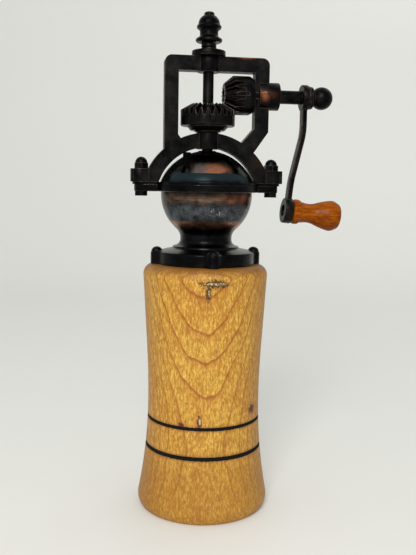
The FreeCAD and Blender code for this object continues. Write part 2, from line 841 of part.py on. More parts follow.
def make_acorn_nuts():
    base = S.rim_high + S.brim_thick + S.frame_ear_thick

    def nut(name, x):
        hexagon = doc.addObject("Part::Prism", name + "_hexagon")
        hexagon.Polygon = 6
        bind(hexagon, "Circumradius", S.nut_flats / 1.7320508)
        bind(hexagon, "Height", S.nut_hex_height)
        placed(hexagon, x, 0, base, FreeCAD.Rotation(FreeCAD.Vector(0, 0, 1), 30))
        barrel = cylinder(name + "_barrel", S.nut_dome_radius, S.nut_height - S.nut_dome_radius, x, 0, base)
        dome = doc.addObject("Part::Sphere", name + "_dome")
        bind(dome, "Radius", S.nut_dome_radius)
        placed(dome, x, 0, base + S.nut_height - S.nut_dome_radius)
        bore = cylinder(name + "_bore", S.ear_screw_radius + S.thread_play, S.nut_bore_depth + 1, x, 0,
                        base - 1)
        return less(name, fused(name + "_whole", hexagon, barrel, dome), bore)
    return node("acorn_nuts", pair_in_x("nut", nut, S.ear_screw_x))


def make_base_screws():
    seat = S.body_height + S.flange_thick

    def screw(number):
        angle = number * math.pi / 2
        x = S.lobe_circle * math.cos(angle)
        y = S.lobe_circle * math.sin(angle)
        name = f"lobe_screw_{number}"
        dome = doc.addObject("Part::Ellipsoid", name + "_dome")
        bind(dome, "Radius1", S.wood_head_height)
        bind(dome, "Radius2", S.wood_head_radius)
        bind(dome, "Radius3", S.wood_head_radius)
        dome.Angle1 = 0
        placed(dome, x, y, seat)
        shank = cylinder(name + "_shank", S.wood_screw_radius, S.wood_screw_length, x, y,
                         seat - S.wood_screw_length)
        slot = slot_across(name, S.wood_head_radius, x, y, seat + S.wood_head_height - S.slot_depth)
        return less(name, fused(name + "_whole", dome, shank), slot)
    return node("base_screws", compound("lobe_screws", *(screw(number) for number in range(4))))


# ---------------------------------------------------------------- upright shaft

def make_top_bush():
    outline = Outline(S.post_bore_radius, S.top_boss_low)
    outline.to(S.bush_sleeve_radius, S.top_boss_low)
    outline.to(S.bush_sleeve_radius, S.bush_disc_low)
    outline.to(S.bush_radius - 0.3, S.bush_disc_low)
    outline.to(S.bush_radius, S.bush_disc_low + 0.3)
    outline.to(S.bush_radius, S.bush_disc_high - S.cast_edge_round)
    outline.to(S.bush_radius - S.cast_edge_round, S.bush_disc_high, S.cast_edge_round)
    outline.to(S.bush_collar_radius, S.bush_disc_high)
    outline.to(S.bush_collar_radius, S.bush_collar_top)
    outline.to(S.post_bore_radius, S.bush_collar_top)
    return node("top_bush", turned_piece("bush", outline))


def make_drive_shaft():
    groove = S.tip_radius - S.clip_groove_depth
    groove_high = S.clip_groove_low + S.clip_groove_width
    outline = Outline(0, S.tip_low)
    outline.to(S.tip_radius, S.tip_low)
    outline.to(S.tip_radius, S.clip_groove_low)
    outline.to(groove, S.clip_groove_low)
    outline.to(groove, groove_high)
    outline.to(S.tip_radius, groove_high)
    outline.to(S.tip_radius, S.square_low + 1)
    outline.to(0, S.square_low + 1)
    tip = turned_piece("shaft_tip", outline)
    half = S.square_side / 2
    square = block("shaft_square", S.square_side, S.square_side, S.square_high - S.square_low,
                   -half, -half, S.square_low)
    rod = cylinder("shaft_rod", S.rod_radius, S.rod_step_height - S.square_high + 2, z=S.square_high - 1)
    post = cylinder("shaft_post", S.post_radius, S.thread_low - S.rod_step_height, z=S.rod_step_height)
    thread = cylinder("shaft_thread", S.thread_radius, S.thread_top - S.thread_low + 1, z=S.thread_low - 1)
    keyway = block("shaft_keyway", S.post_radius * 2, S.key_width, S.key_high - S.key_low,
                   -S.keyway_root - S.post_radius * 2, -S.key_width / 2, S.key_low)
    return node("drive_shaft", less("shaft", fused("shaft_whole", tip, square, rod, post, thread), keyway))


def make_gear_key():
    return node("gear_key", block("key", S.key_radius - S.key_root, S.key_width, S.key_high - S.key_low,
                                  -S.key_radius, -S.key_width / 2, S.key_low))


def make_finial_nut():
    low = S.finial_low
    bore = S.thread_radius + S.thread_play
    waist = S.finial_waist_radius
    button = S.finial_button_radius
    outline = Outline(bore, low)
    outline.to(S.finial_foot_radius, low)
    outline.to(S.finial_disc_radius, low + 1.9, 1.05)
    outline.to(waist, low + 3.3, -2.0)
    outline.to(waist, low + 4.6)
    outline.to(S.finial_bulb_radius - 0.5, low + 6.0, -1.6)
    outline.to(S.finial_bulb_radius, low + 8.0, 1.15)
    outline.to(S.finial_shoulder_radius, low + 9.2, -2.0)
    outline.to(button, low + 12.6, 4.6)
    outline.to(button, low + 13.4, 0.7)
    outline.to(button - 0.5, S.finial_top - 0.3, 0.8)
    outline.to(S.pole_flat, S.finial_top, 3.0)
    outline.to(0, S.finial_top)
    outline.to(0, S.thread_top + 1.2)
    outline.to(bore, S.thread_top + 1.2)
    return node("finial_nut", turned_piece("finial", outline))


def make_adjuster_spring():
    """A short wire spring between the bush's collar and the finial."""
    wire = float(S.spring_wire)
    low = float(S.bush_collar_top) + wire
    high = float(S.finial_low) - wire
    turns = float(S.spring_turns)
    helix = Part.makeHelix((high - low) / turns, high - low, float(S.spring_radius))
    start = FreeCAD.Vector(float(S.spring_radius), 0, 0)
    section = Part.Wire(Part.Circle(start, FreeCAD.Vector(0, 1, 0), wire).toShape())
    coil = Part.Wire(helix).makePipeShell([section], True, True)
    item = doc.addObject("Part::Feature", "spring")
    item.Shape = coil
    item.Placement = FreeCAD.Placement(FreeCAD.Vector(0, 0, low), FreeCAD.Rotation())
    return node("adjuster_spring", item)


def make_gear_washer():
    ring = cylinder("washer_disc", S.washer_radius, S.washer_thick, z=S.arch_boss_high)
    hole = cylinder("washer_hole", S.post_bore_radius, S.washer_thick + 2, z=S.arch_boss_high - 1)
    return node("gear_washer", less("washer", ring, hole))


# ---------------------------------------------------------------- bevel gears

def involute(angle):
    return math.tan(angle) - angle


def slot_outline(teeth, pitch_angle):
    """Half of a tooth space on the back cone: (sideways, outwards) points from root to tip."""
    module = float(S.module)
    pressure = math.radians(float(S.pressure_angle))
    pitch = module * teeth / math.cos(pitch_angle) / 2
    base = pitch * math.cos(pressure)
    root = pitch - 1.25 * module
    tip = pitch + 1.9 * module
    steps = 7
    points = []
    for step in range(steps + 1):
        radius = root + (tip - root) * step / steps
        rolled = involute(math.acos(min(1.0, base / radius)))
        tooth_half = math.pi * module / 4 / pitch + involute(pressure) - rolled
        slot_half = math.pi * module / 2 / pitch - tooth_half + float(S.backlash) / 4 / pitch
        points.append((radius * math.sin(slot_half), radius * math.cos(slot_half) - pitch))
    return points


def slot_cutters(teeth, pitch_angle, cone, apex, axis, zero, phase, reach):
    """One wedge for each tooth space, every edge running to the apex."""
    flank = slot_outline(teeth, pitch_angle)
    section = flank + [(-side, out) for side, out in reversed(flank)]
    cutters = []
    for number in range(teeth):
        turn = FreeCAD.Rotation(axis, math.degrees(phase + 2 * math.pi * number / teeth))
        radial = turn.multVec(zero)
        along = radial * math.sin(pitch_angle) + axis * math.cos(pitch_angle)
        outward = radial * math.cos(pitch_angle) - axis * math.sin(pitch_angle)
        sideways = axis.cross(radial)
        rings = []
        for share in reach:
            corners = [apex + (along * cone + outward * out + sideways * side) * share
                       for side, out in section]
            rings.append(Part.makePolygon(corners + corners[:1]))
        cutters.append(Part.makeLoft(rings, True, True))
    return cutters


def revolved_solid(points, axis_point, axis):
    """Turn a closed polygon of points about an axis."""
    face = Part.Face(Part.makePolygon(points + points[:1]))
    return face.revolve(axis_point, axis, 360)


def gear_angles():
    crown = int(S.crown_teeth)
    pinion = int(S.pinion_teeth)
    crown_angle = math.atan2(crown, pinion)
    cone = float(S.module) * math.hypot(crown, pinion) / 2
    return crown, pinion, crown_angle, cone


def make_crown_gear():
    teeth, _, angle, cone = gear_angles()
    centre = float(S.crank_height)
    tip_r = cone * math.sin(angle) + float(S.module) * math.cos(angle)
    tip_drop = cone * math.cos(angle) - float(S.module) * math.sin(angle)
    inner = float(S.tooth_inner_share)
    bore = float(S.post_bore_radius)
    washer_top = float(S.arch_boss_high + S.washer_thick)
    rim_low = float(S.crown_low)
    face = centre - tip_drop * inner - float(S.crown_face_step)
    floor = face - float(S.crown_recess_depth)
    profile = [
        (bore, washer_top),
        (float(S.crown_hub_radius), washer_top),
        (float(S.crown_cone_radius), float(S.crown_cone_height)),
        (float(S.crown_cone_radius), rim_low),
        (tip_r - 0.4, rim_low),
        (tip_r, rim_low + 0.4),
        (tip_r, centre - tip_drop),
        (tip_r * inner, centre - tip_drop * inner),
        (float(S.crown_recess_radius), face),
        (float(S.crown_recess_radius), floor),
        (bore, floor),
    ]
    up = FreeCAD.Vector(0, 0, 1)
    blank = revolved_solid([FreeCAD.Vector(r, 0, z) for r, z in profile], FreeCAD.Vector(), up)
    cutters = slot_cutters(teeth, angle, cone, FreeCAD.Vector(0, 0, centre), -up,
                           FreeCAD.Vector(1, 0, 0), 0.0, (0.45, 1.35))
    width = float(S.key_width + S.key_play * 2)
    depth = float(S.key_radius + S.key_play)
    keyway = Part.makeBox(depth, width, 14, FreeCAD.Vector(-depth, -width / 2, washer_top - 1))
    item = doc.addObject("Part::Feature", "crown")
    item.Shape = blank.cut(cutters + [keyway]).Solids[0]
    return node("crown_gear", item)


def make_pinion_gear():
    _, teeth, crown_angle, cone = gear_angles()
    angle = math.pi / 2 - crown_angle
    centre = float(S.crank_height)
    tip_r = cone * math.sin(angle) + float(S.module) * math.cos(angle)
    tip_x = cone * math.cos(angle) - float(S.module) * math.sin(angle)
    inner = float(S.tooth_inner_share) * 1.04
    bore = float(S.crank_radius)
    back = float(S.pinion_back)
    front = tip_x * inner
    profile = [
        (front, bore),
        (front, tip_r * inner - 0.3),
        (front + 0.3, tip_r * inner),
        (tip_x, tip_r),
        (back - float(S.pinion_back_cone), tip_r),
        (back, tip_r - float(S.pinion_back_chamfer)),
        (back, bore),
    ]
    along = FreeCAD.Vector(1, 0, 0)
    base = FreeCAD.Vector(0, 0, centre)
    blank = revolved_solid([base + FreeCAD.Vector(x, 0, r) for x, r in profile], base, along)
    cutters = slot_cutters(teeth, angle, cone, base, along, FreeCAD.Vector(0, 0, -1),
                           math.pi / teeth, (0.45, 1.5))
    pin = Part.makeCylinder(float(S.pin_radius), 30, FreeCAD.Vector(float(S.pin_x), 15, centre),
                            FreeCAD.Vector(0, -1, 0))
    item = doc.addObject("Part::Feature", "pinion")
    item.Shape = blank.cut(cutters + [pin]).Solids[0]
    return node("pinion_gear", item)


# ---------------------------------------------------------------- crank

ACROSS = FreeCAD.Rotation(FreeCAD.Vector(1, 0, 0), 90)


def make_pinion_pin():
    return node("pinion_pin", cylinder("cross_pin", S.pin_radius, S.pin_length, S.pin_x, S.pin_length / 2,
                                       S.crank_height, ACROSS))


def make_crank_shaft():
    bar = cylinder("crank_bar", S.crank_radius, S.ring_start - S.crank_start, S.crank_start, 0,
                   S.crank_height, TO_X)
    stud_end = S.ring_end + S.washer_crank_thick + S.nut_hole_depth - 0.3
    stud = cylinder("crank_stud", S.rod_radius, stud_end - S.ring_start + 1, S.ring_start - 1, 0,
                    S.crank_height, TO_X)
    hole = cylinder("crank_pin_hole", S.pin_radius, 12, S.pin_x, 6, S.crank_height, ACROSS)
    return node("crank_shaft", less("crank_axle", fused("crank_whole", bar, stud), hole))


def make_crank_arm():
    """A flat bar bent in the XZ plane, with a ring at the axle and an eye at the grip."""
    slope = math.radians(float(S.arm_slope))
    tilt = math.radians(float(S.grip_tilt))
    top_x = (S.ring_start + S.ring_end) / 2
    upper = (S.arm_bend_top - S.arm_bend_low) / math.sin(slope)
    bend_x = top_x - upper * (1 - math.cos(slope))
    straight_x = bend_x - (S.arm_bend_low - S.arm_straight_low) * math.tan(slope)
    lower = (S.arm_straight_low - S.arm_turn_low) / (math.sin(slope) - math.sin(tilt))
    turn_x = straight_x - lower * (math.cos(tilt) - math.cos(slope))
    end_z = S.eye_height - 1
    end_x = S.eye_x - math.tan(tilt)
    half = S.arm_thick / 2

    def rail(side):
        """The centre line's corners moved sideways, and the radii of its two bends."""
        shift = half * side
        return [
            (top_x + shift, S.crank_height),
            (top_x + shift, S.arm_bend_top),
            (bend_x + shift * math.cos(slope), S.arm_bend_low - shift * math.sin(slope)),
            (straight_x + shift * math.cos(slope), S.arm_straight_low - shift * math.sin(slope)),
            (turn_x + shift * math.cos(tilt), S.arm_turn_low - shift * math.sin(tilt)),
            (end_x + shift * math.cos(tilt), end_z - shift * math.sin(tilt)),
        ], (upper + shift, lower - shift)

    right, right_bends = rail(1)
    left, left_bends = rail(-1)
    edge = Outline(*right[0])
    edge.to(*right[1])
    edge.to(*right[2], -right_bends[0])
    edge.to(*right[3])
    edge.to(*right[4], right_bends[1])
    edge.to(*right[5])
    edge.to(*left[5])
    edge.to(*left[4])
    edge.to(*left[3], -left_bends[1])
    edge.to(*left[2])
    edge.to(*left[1], left_bends[0])
    edge.to(*left[0])
    body = new_body("arm_blade")
    sketch = new_sketch(body, "arm_edge", "XZ_Plane")
    edge.draw(sketch)
    pad(body, "arm_strip", sketch, S.arm_width, both_ways=True)

    turn = FreeCAD.Rotation(FreeCAD.Vector(0, 1, 0), 90 + float(S.grip_tilt))
    along = turn.multVec(FreeCAD.Vector(0, 0, 1))
    back = S.eye_thick / 2
    ring = cylinder("arm_ring", S.ring_radius, S.ring_end - S.ring_start, S.ring_start, 0,
                    S.crank_height, TO_X)
    eye = cylinder("arm_eye", S.eye_radius, S.eye_thick, S.eye_x - back * along.x, 0,
                   S.eye_height - back * along.z, turn)
    ring_hole = cylinder("arm_ring_hole", S.rod_radius, 8, S.ring_start - 2, 0, S.crank_height, TO_X)
    eye_hole = cylinder("arm_eye_hole", S.grip_pin_radius, 16, S.eye_x - 8 * along.x, 0,
                        S.eye_height - 8 * along.z, turn)
    mouth = cylinder("arm_counterbore", S.grip_pin_radius + S.grip_pin_head, S.grip_pin_sunk,
                     S.eye_x - back * along.x, 0, S.eye_height - back * along.z, turn)
    seat = back - S.grip_pin_sunk
    sink = doc.addObject("Part::Cone", "arm_countersink")
    bind(sink, "Radius1", S.grip_pin_radius + S.grip_pin_head)
    bind(sink, "Radius2", S.grip_pin_radius)
    bind(sink, "Height", S.grip_pin_head)
    placed(sink, S.eye_x - seat * along.x, 0, S.eye_height - seat * along.z, turn)
    whole = fused("arm_whole", body, ring, eye)
    return node("crank_arm", less("arm", whole, ring_hole, eye_hole, mouth, sink))


def make_crank_washer():
    disc = cylinder("crank_disc", S.washer_crank_radius, S.washer_crank_thick, S.ring_end, 0,
                    S.crank_height, TO_X)
    hole = cylinder("crank_disc_hole", S.rod_radius, 4, S.ring_end - 1, 0, S.crank_height, TO_X)
    return node("crank_washer", less("disc", disc, hole))


def lying(name, outline, x, z, turn):
    """A revolved body whose own +Z is turned to lie along the crank or the grip."""
    body = turned_piece(name, outline)
    return placed(body, x, 0, z, turn)


def make_crank_nut():
    seat = S.ring_end + S.washer_crank_thick
    ball = S.ball_x - seat
    outline = Outline(S.rod_radius, 0)
    outline.to(S.nut_foot_radius - 0.4, 0)
    outline.to(S.nut_foot_radius, 0.7, 0.8)
    outline.to(S.nut_foot_radius - 0.6, 1.5, 0.9)
    outline.to(S.nut_waist_radius, 2.1, -1.6)
    outline.to(across(S.ball_radius, S.ball_low), ball - S.ball_low)
    end = ball + across(S.ball_radius, S.pole_flat)
    outline.to(S.pole_flat, end, S.ball_radius)
    outline.to(0, end)
    outline.to(0, S.nut_hole_depth)
    outline.to(S.rod_radius, S.nut_hole_depth)
    return node("crank_nut", lying("ball_nut", outline, seat, S.crank_height, TO_X))


def grip_frame():
    turn = FreeCAD.Rotation(FreeCAD.Vector(0, 1, 0), 90 + float(S.grip_tilt))
    return S.eye_x, S.eye_height, turn


def make_handle_pin():
    x, z, turn = grip_frame()
    back = S.eye_thick / 2 - S.grip_pin_sunk
    rivet_low = S.grip_start + S.grip_length - S.grip_recess_depth + 0.1
    rivet_high = rivet_low + S.grip_rivet_thick
    rivet = S.grip_pin_radius + S.grip_rivet_overhang
    outline = Outline(0, -back)
    outline.to(S.grip_pin_radius + S.grip_pin_head, -back)
    outline.to(S.grip_pin_radius, S.grip_pin_head - back)
    outline.to(S.grip_pin_radius, rivet_low)
    outline.to(rivet, rivet_low)
    outline.to(rivet, rivet_high)
    outline.to(S.pole_flat, rivet_high + 0.4, 12.0)
    outline.to(0, rivet_high + 0.4)
    return node("handle_pin", lying("grip_pin", outline, x, z, turn))


def make_handle_knob():
    x, z, turn = grip_frame()
    start = S.grip_start
    end = start + S.grip_length
    bore = S.grip_bore_radius
    recess = end - S.grip_recess_depth
    outline = Outline(bore, start)
    outline.to(S.grip_bead_radius - 1.2, start)
    outline.to(S.grip_bead_radius, start + 2.0, 2.1)
    outline.to(S.grip_bead_radius - 0.9, start + 4.4, 2.6)
    outline.to(S.grip_neck_radius, start + 7.6, -7.0)
    outline.to(S.grip_neck_radius + 1.2, start + 13.0, -14.0)
    outline.to(S.grip_end_radius, end - 7.4, 18.0)
    outline.to(S.grip_end_radius - 2.6, end - 0.9, 6.2)
    outline.to(S.grip_end_radius - 4.0, end, 2.6)
    outline.to(S.grip_recess_radius, end)
    outline.to(S.grip_recess_radius, recess)
    outline.to(bore, recess)
    return node("handle_knob", lying("grip", outline, x, z, turn))


# ---------------------------------------------------------------- burrs in the foot of the body

def make_burr_ring():
    low = S.body_recess_depth - S.burr_flange_thick
    outline = Outline(S.burr_throat_radius, low)
    outline.to(S.burr_flange_radius, low)
    outline.to(S.burr_flange_radius, S.body_recess_depth)
    outline.to(S.body_bore_radius, S.body_recess_depth)
    outline.to(S.body_bore_radius, S.burr_top)
    outline.to(S.burr_mouth_radius + S.burr_mouth_rim, S.burr_top)
    outline.to(S.burr_mouth_radius, S.burr_top - S.burr_mouth_height)
    body = new_body("burr_ring")
    revolve(body, "burr_ring_turned", outline)
    notch = new_sketch(body, "burr_slot_outline", "XY_Plane", low)
    half = S.burr_slot_width / 2
    inside = S.burr_mouth_radius - 1
    bottom = S.burr_throat_radius + S.burr_slot_depth
    outline = Outline(inside, -half)
    outline.to(bottom, -half)
    outline.to(bottom, half)
    outline.to(inside, half)
    outline.draw(notch)
    cut = pocket(body, "burr_slot", notch, S.burr_top - low)
    around(body, "burr_slots", cut, S.burr_slots)
    holes = new_sketch(body, "burr_screw_holes", "XY_Plane", S.body_recess_depth)
    for side in (1, -1):
        circle_in(holes, S.bridge_screw_x * side, 0, S.bridge_screw_radius)
    pocket(body, "burr_flange_holes", holes, S.burr_flange_thick)
    return node("burr_ring", body)


def make_burr_cone():
    half = S.square_side / 2
    shoulder = S.cone_low + S.cone_skirt
    outline = Outline(0, S.cone_low)
    outline.to(S.cone_low_radius, S.cone_low)
    outline.to(S.cone_low_radius, shoulder)
    outline.to(S.cone_top_radius, S.cone_top)
    outline.to(0, S.cone_top)
    body = new_body("burr_cone_body")
    revolve(body, "burr_cone_turned", outline)
    groove = new_sketch(body, "cone_slot_outline", "XZ_Plane")
    low_bottom = S.cone_low_radius - S.cone_slot_depth + 0.6
    outline = Outline(low_bottom, S.cone_low - 1)
    outline.to(S.cone_low_radius + 2, S.cone_low - 1)
    outline.to(S.cone_low_radius + 2, S.cone_top + 1)
    outline.to(S.cone_top_radius - S.cone_slot_depth, S.cone_top + 1)
    outline.to(low_bottom, shoulder)
    outline.draw(groove)
    cut = pocket(body, "cone_slot", groove, S.cone_slot_width, both_ways=True)
    around(body, "cone_slots", cut, S.cone_slots)
    hole = block("cone_square", S.square_side, S.square_side, S.cone_top, -half, -half, 0)
    return node("burr_cone", less("cone_with_hole", body, hole))


def make_rotor_clip():
    low = S.clip_groove_low + (S.clip_groove_width - S.clip_thick) / 2
    disc = cylinder("clip_disc", S.clip_radius, S.clip_thick, z=low)
    hole = cylinder("clip_hole", S.tip_radius - S.clip_groove_depth, S.clip_thick + 2, z=low - 1)
    gap = block("clip_gap", S.clip_radius + 1, S.clip_gap, S.clip_thick + 2, 0, -S.clip_gap / 2, low - 1)
    return node("rotor_clip", less("clip", disc, hole, gap))


def make_bottom_bridge():
    top = S.body_recess_depth - S.burr_flange_thick
    bar = block("bridge_bar", S.burr_flange_radius * 2, S.bridge_width, S.bridge_thick,
                -S.burr_flange_radius, -S.bridge_width / 2, top - S.bridge_thick)
    disc = cylinder("bridge_extent", S.burr_flange_radius, S.bridge_thick * 3, z=0)
    hub = cylinder("bridge_hub", S.bridge_hub_radius, S.bridge_thick, z=top - S.bridge_thick)
    holes = [cylinder("bridge_centre_hole", S.tip_radius + S.thread_play, 12, z=-1)]
    for side, word in SIDES:
        x = S.bridge_screw_x * side
        holes.append(cylinder(f"bridge_{word}_hole", S.bridge_screw_radius, 12, x, 0, -1))
    strip = shared("bridge_strip", bar, disc)
    return node("bottom_bridge", less("bridge", fused("bridge_whole", strip, hub), *holes))


def make_bridge_screws():
    under = S.body_recess_depth - S.burr_flange_thick - S.bridge_thick

    def screw(name, x):
        head = cylinder(name + "_head", S.bridge_head_radius, S.bridge_head_height, x, 0,
                        under - S.bridge_head_height)
        shank = cylinder(name + "_shank", S.bridge_screw_radius, S.bridge_screw_length + 0.5, x, 0,
                         under - 0.5)
        slot = slot_across(name, S.bridge_head_radius, x, 0, under - S.bridge_head_height - S.slot_depth)
        return less(name, fused(name + "_whole", head, shank), slot)
    return node("bridge_screws", pair_in_x("bridge_screw", screw, S.bridge_screw_x))


# ---------------------------------------------------------------- build, check and write

MAKERS = (
    make_wood_body, make_hopper_bowl, make_hopper_dome, make_dome_door, make_yoke_frame, make_yoke_screws,
    make_acorn_nuts, make_base_screws, make_top_bush, make_drive_shaft, make_gear_key, make_finial_nut,
    make_adjuster_spring, make_gear_washer, make_crown_gear, make_pinion_gear, make_pinion_pin,
    make_crank_shaft, make_crank_arm, make_crank_washer, make_crank_nut, make_handle_pin, make_handle_knob,
    make_burr_ring, make_burr_cone, make_rotor_clip, make_bottom_bridge, make_bridge_screws,
)


def check():
    """Stop if anything in the document failed or any piece isn't a valid solid."""
    doc.recompute()
    for item in doc.Objects:
        if "Invalid" in item.State or "Error" in item.State:
            raise RuntimeError(f"{item.Name} ({item.Label}) failed")
    for item in NODES:
        shape = item.Shape
        if shape.isNull() or not shape.isValid() or not shape.Solids:
            raise RuntimeError(f"{item.Label} has no valid solid")
        if min(solid.Volume for solid in shape.Solids) <= 0:
            raise RuntimeError(f"{item.Label} is inside out")


def write():
    os.makedirs("parts", exist_ok=True)
    for item in NODES:
        item.Shape.exportStep(f"parts/{item.Label}.step")
        box = item.Shape.BoundBox
        print(f"{item.Label:16s} solids {len(item.Shape.Solids)}  volume {item.Shape.Volume:9.1f}  "
              f"x {box.XMin:6.1f} {box.XMax:6.1f}  y {box.YMin:6.1f} {box.YMax:6.1f}  "
              f"z {box.ZMin:6.1f} {box.ZMax:6.1f}")


for make in MAKERS:
    make()
check()
write()
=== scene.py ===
"""The looks of a hand crank mill: pale stage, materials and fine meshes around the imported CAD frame."""

import math

import bpy
from mathutils import Matrix, Vector


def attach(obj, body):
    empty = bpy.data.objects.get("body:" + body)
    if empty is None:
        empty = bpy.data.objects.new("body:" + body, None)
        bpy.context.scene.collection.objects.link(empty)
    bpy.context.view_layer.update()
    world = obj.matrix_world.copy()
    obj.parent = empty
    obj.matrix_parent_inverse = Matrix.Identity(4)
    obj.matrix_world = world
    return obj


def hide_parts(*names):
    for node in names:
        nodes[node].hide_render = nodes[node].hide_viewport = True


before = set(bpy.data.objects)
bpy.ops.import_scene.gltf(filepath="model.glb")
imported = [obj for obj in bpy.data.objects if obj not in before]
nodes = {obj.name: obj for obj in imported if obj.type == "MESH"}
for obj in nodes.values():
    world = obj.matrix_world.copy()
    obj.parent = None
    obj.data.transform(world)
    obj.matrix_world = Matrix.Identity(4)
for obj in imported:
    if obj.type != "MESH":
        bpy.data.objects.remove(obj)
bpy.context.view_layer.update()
scene = bpy.context.scene

MM = 0.001
TURN = 2 * math.pi

# How finely curves are drawn, and which edges stay sharp. Lengths are in millimetres.
LATHE_STEPS = 160
ARC_STEP = math.radians(7)
CORNER_STEPS = 5
SAME_POINT = 1e-4
ON_AXIS = 1e-3
SMOOTH_BELOW = math.radians(32)
BEVEL_ABOVE = math.radians(34)

# The level direction across the mill's front, as x and y.
FRONT_ACROSS = (0.988, -0.156)


# ---------------------------------------------------------------- lines and meshes, in millimetres

class Profile:
    """A line of straight and round stretches.

    bend is an arc's radius, positive with its centre to the left of the way the line goes. ease is how
    far back a corner is rounded, and step is the longest distance between points.
    """

    def __init__(self, x, y, ease=0.0):
        self.corners = [Vector((x, y))]
        self.eases = [ease]
        self.stretches = []

    def to(self, x, y, bend=0.0, ease=0.0, step=2.0):
        start, end = self.corners[-1], Vector((x, y))
        self.stretches.append(stretch(start, end, bend, step))
        self.corners.append(end)
        self.eases.append(ease)
        return self

    def close(self, bend=0.0, step=2.0):
        """Join the last corner to the first and give the loop's points."""
        self.stretches.append(stretch(self.corners[-1], self.corners[0], bend, step))
        return self.points(loop=True)

    def points(self, loop=False):
        """The line's points, with its corners rounded."""
        line = []
        count = len(self.stretches)
        for number, run in enumerate(self.stretches):
            first = self.eases[number]
            last = self.eases[(number + 1) % len(self.eases)]
            line += trimmed(run, first, last)
            following = self.stretches[(number + 1) % count]
            if last and (loop or number < count - 1):
                line += eased(run, following, last)
        return without_repeats(line, loop)


def stretch(start, end, bend, step):
    """Points from start to end, straight or along the shorter arc of the given radius."""
    chord = end - start
    if not bend:
        count = max(1, round(chord.length / step))
        return [start.lerp(end, i / count) for i in range(count + 1)]
    half = chord.length / 2
    side = Vector((-chord.y, chord.x)).normalized()
    reach = math.sqrt(max(bend * bend - half * half, 0.0))
    centre = start + chord / 2 + side * math.copysign(reach, bend)
    sweep = 2 * math.asin(min(1.0, half / abs(bend))) * math.copysign(1, bend)
    count = max(2, round(abs(sweep) / ARC_STEP), round(abs(sweep * bend) / step))
    arm = start - centre
    return [centre + arm @ Matrix.Rotation(-sweep * i / count, 2) for i in range(count + 1)]


def trimmed(run, first, last):
    """A stretch without the given lengths at its two ends."""
    lengths = [0.0]
    for a, b in zip(run, run[1:]):
        lengths.append(lengths[-1] + (b - a).length)
    low, high = first, lengths[-1] - last
    inside = [p for p, at in zip(run, lengths) if low < at < high]
    return [along(run, low)] + inside + [along(run, high)]


def along(run, distance):
    """The point at a distance along a stretch."""
    for a, b in zip(run, run[1:]):
        length = (b - a).length
        if distance <= length:
            return a.lerp(b, distance / length if length else 0.0)
        distance -= length
    return run[-1].copy()


def eased(run, following, ease):
    """The rounded corner between two stretches, without its ends."""
    total = sum((b - a).length for a, b in zip(run, run[1:]))
    start = along(run, total - ease)
    end = along(following, ease)
    corner = run[-1]
    ways = [i / CORNER_STEPS for i in range(1, CORNER_STEPS)]
    return [start * (1 - t) ** 2 + corner * 2 * t * (1 - t) + end * t ** 2 for t in ways]


def without_repeats(line, loop):
    kept = [line[0]]
    for point in line[1:]:
        if (point - kept[-1]).length > SAME_POINT:
            kept.append(point)
    if loop and (kept[0] - kept[-1]).length < SAME_POINT:
        kept.pop()
    return kept


def mesh_object(name, points, faces, place=None):
    """A new smooth object from points in millimetres, its sharp edges kept."""
    data = bpy.data.meshes.new(name)
    move = place or Matrix.Identity(4)
    data.from_pydata([(move @ Vector(p)) * MM for p in points], [], faces)
    data.validate()
    data.shade_smooth()
    data.set_sharp_from_angle(angle=SMOOTH_BELOW)
    piece = bpy.data.objects.new(name, data)
    scene.collection.objects.link(piece)
    return piece


def even_angles(count=LATHE_STEPS):
    return [TURN * i / count for i in range(count)]


def turned(name, line, loop, place=None, angles=None, reach=None):
    """A turned mesh from a line of (radius, height).

    reach(radius, height, angle) adds to the radius there. A line that isn't a loop starts and ends on
    the axis.
    """
    angles = angles or even_angles()
    points, rings = [], []
    for radius, height in line:
        if radius < ON_AXIS:
            rings.append([len(points)] * len(angles))
            points.append((0.0, 0.0, height))
            continue
        rings.append(list(range(len(points), len(points) + len(angles))))
        for angle in angles:
            far = radius + (reach(radius, height, angle) if reach else 0.0)
            points.append((far * math.cos(angle), far * math.sin(angle), height))
    pairs = list(zip(rings, rings[1:]))
    if loop:
        pairs.append((rings[-1], rings[0]))
    faces = []
    for low, high in pairs:
        for i in range(len(angles)):
            j = (i + 1) % len(angles)
            corners = [low[i], low[j], high[j], high[i]]
            faces.append(list(dict.fromkeys(corners)))
    return mesh_object(name, points, faces, place)


def fitted(piece, body, slot, material, *stands_for):
    """Give a piece its material, its body and the CAD nodes that it stands for. slot is not used."""
    piece.data.materials.clear()
    piece.data.materials.append(material)
    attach(piece, body)
    if stands_for:
        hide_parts(*stands_for)
    return piece


def dressed(node, material, edge=0.0):
    """A CAD node in its material, with its sharp edges rounded by a modifier."""
    piece = nodes[node]
    piece.data.materials.clear()
    piece.data.materials.append(material)
    if not edge:
        return
    weld = piece.modifiers.new("weld", "WELD")
    weld.merge_threshold = 0.001 * MM
    bevel = piece.modifiers.new("edges", "BEVEL")
    bevel.width = edge * MM
    bevel.segments = 2
    bevel.limit_method = "ANGLE"
    bevel.angle_limit = BEVEL_ABOVE
    bevel.harden_normals = True


# ---------------------------------------------------------------- sizes and places, in millimetres

# The wooden body. Grooves are heights above the foot.
BODY_HEIGHT = 121.5
FOOT_RADIUS, FOOT_HOLE, FOOT_HOLE_DEPTH = 30.6, 19.0, 9.0
BELLY_RADIUS, BELLY_HEIGHT, BELLY_ROUND = 32.5, 5.9, 8.0
WAIST_RADIUS, WAIST_HEIGHT = 27.7, 55.0
FLARE_RADIUS, FLARE_HEIGHT = 28.7, 85.0
TOP_RADIUS, TOP_ROUND = 30.5, 5.0
BODY_BORE = 13.5
GROOVES = (31.6, 45.8)
GROOVE_HALF_WIDTHS = (0.86, 0.72)

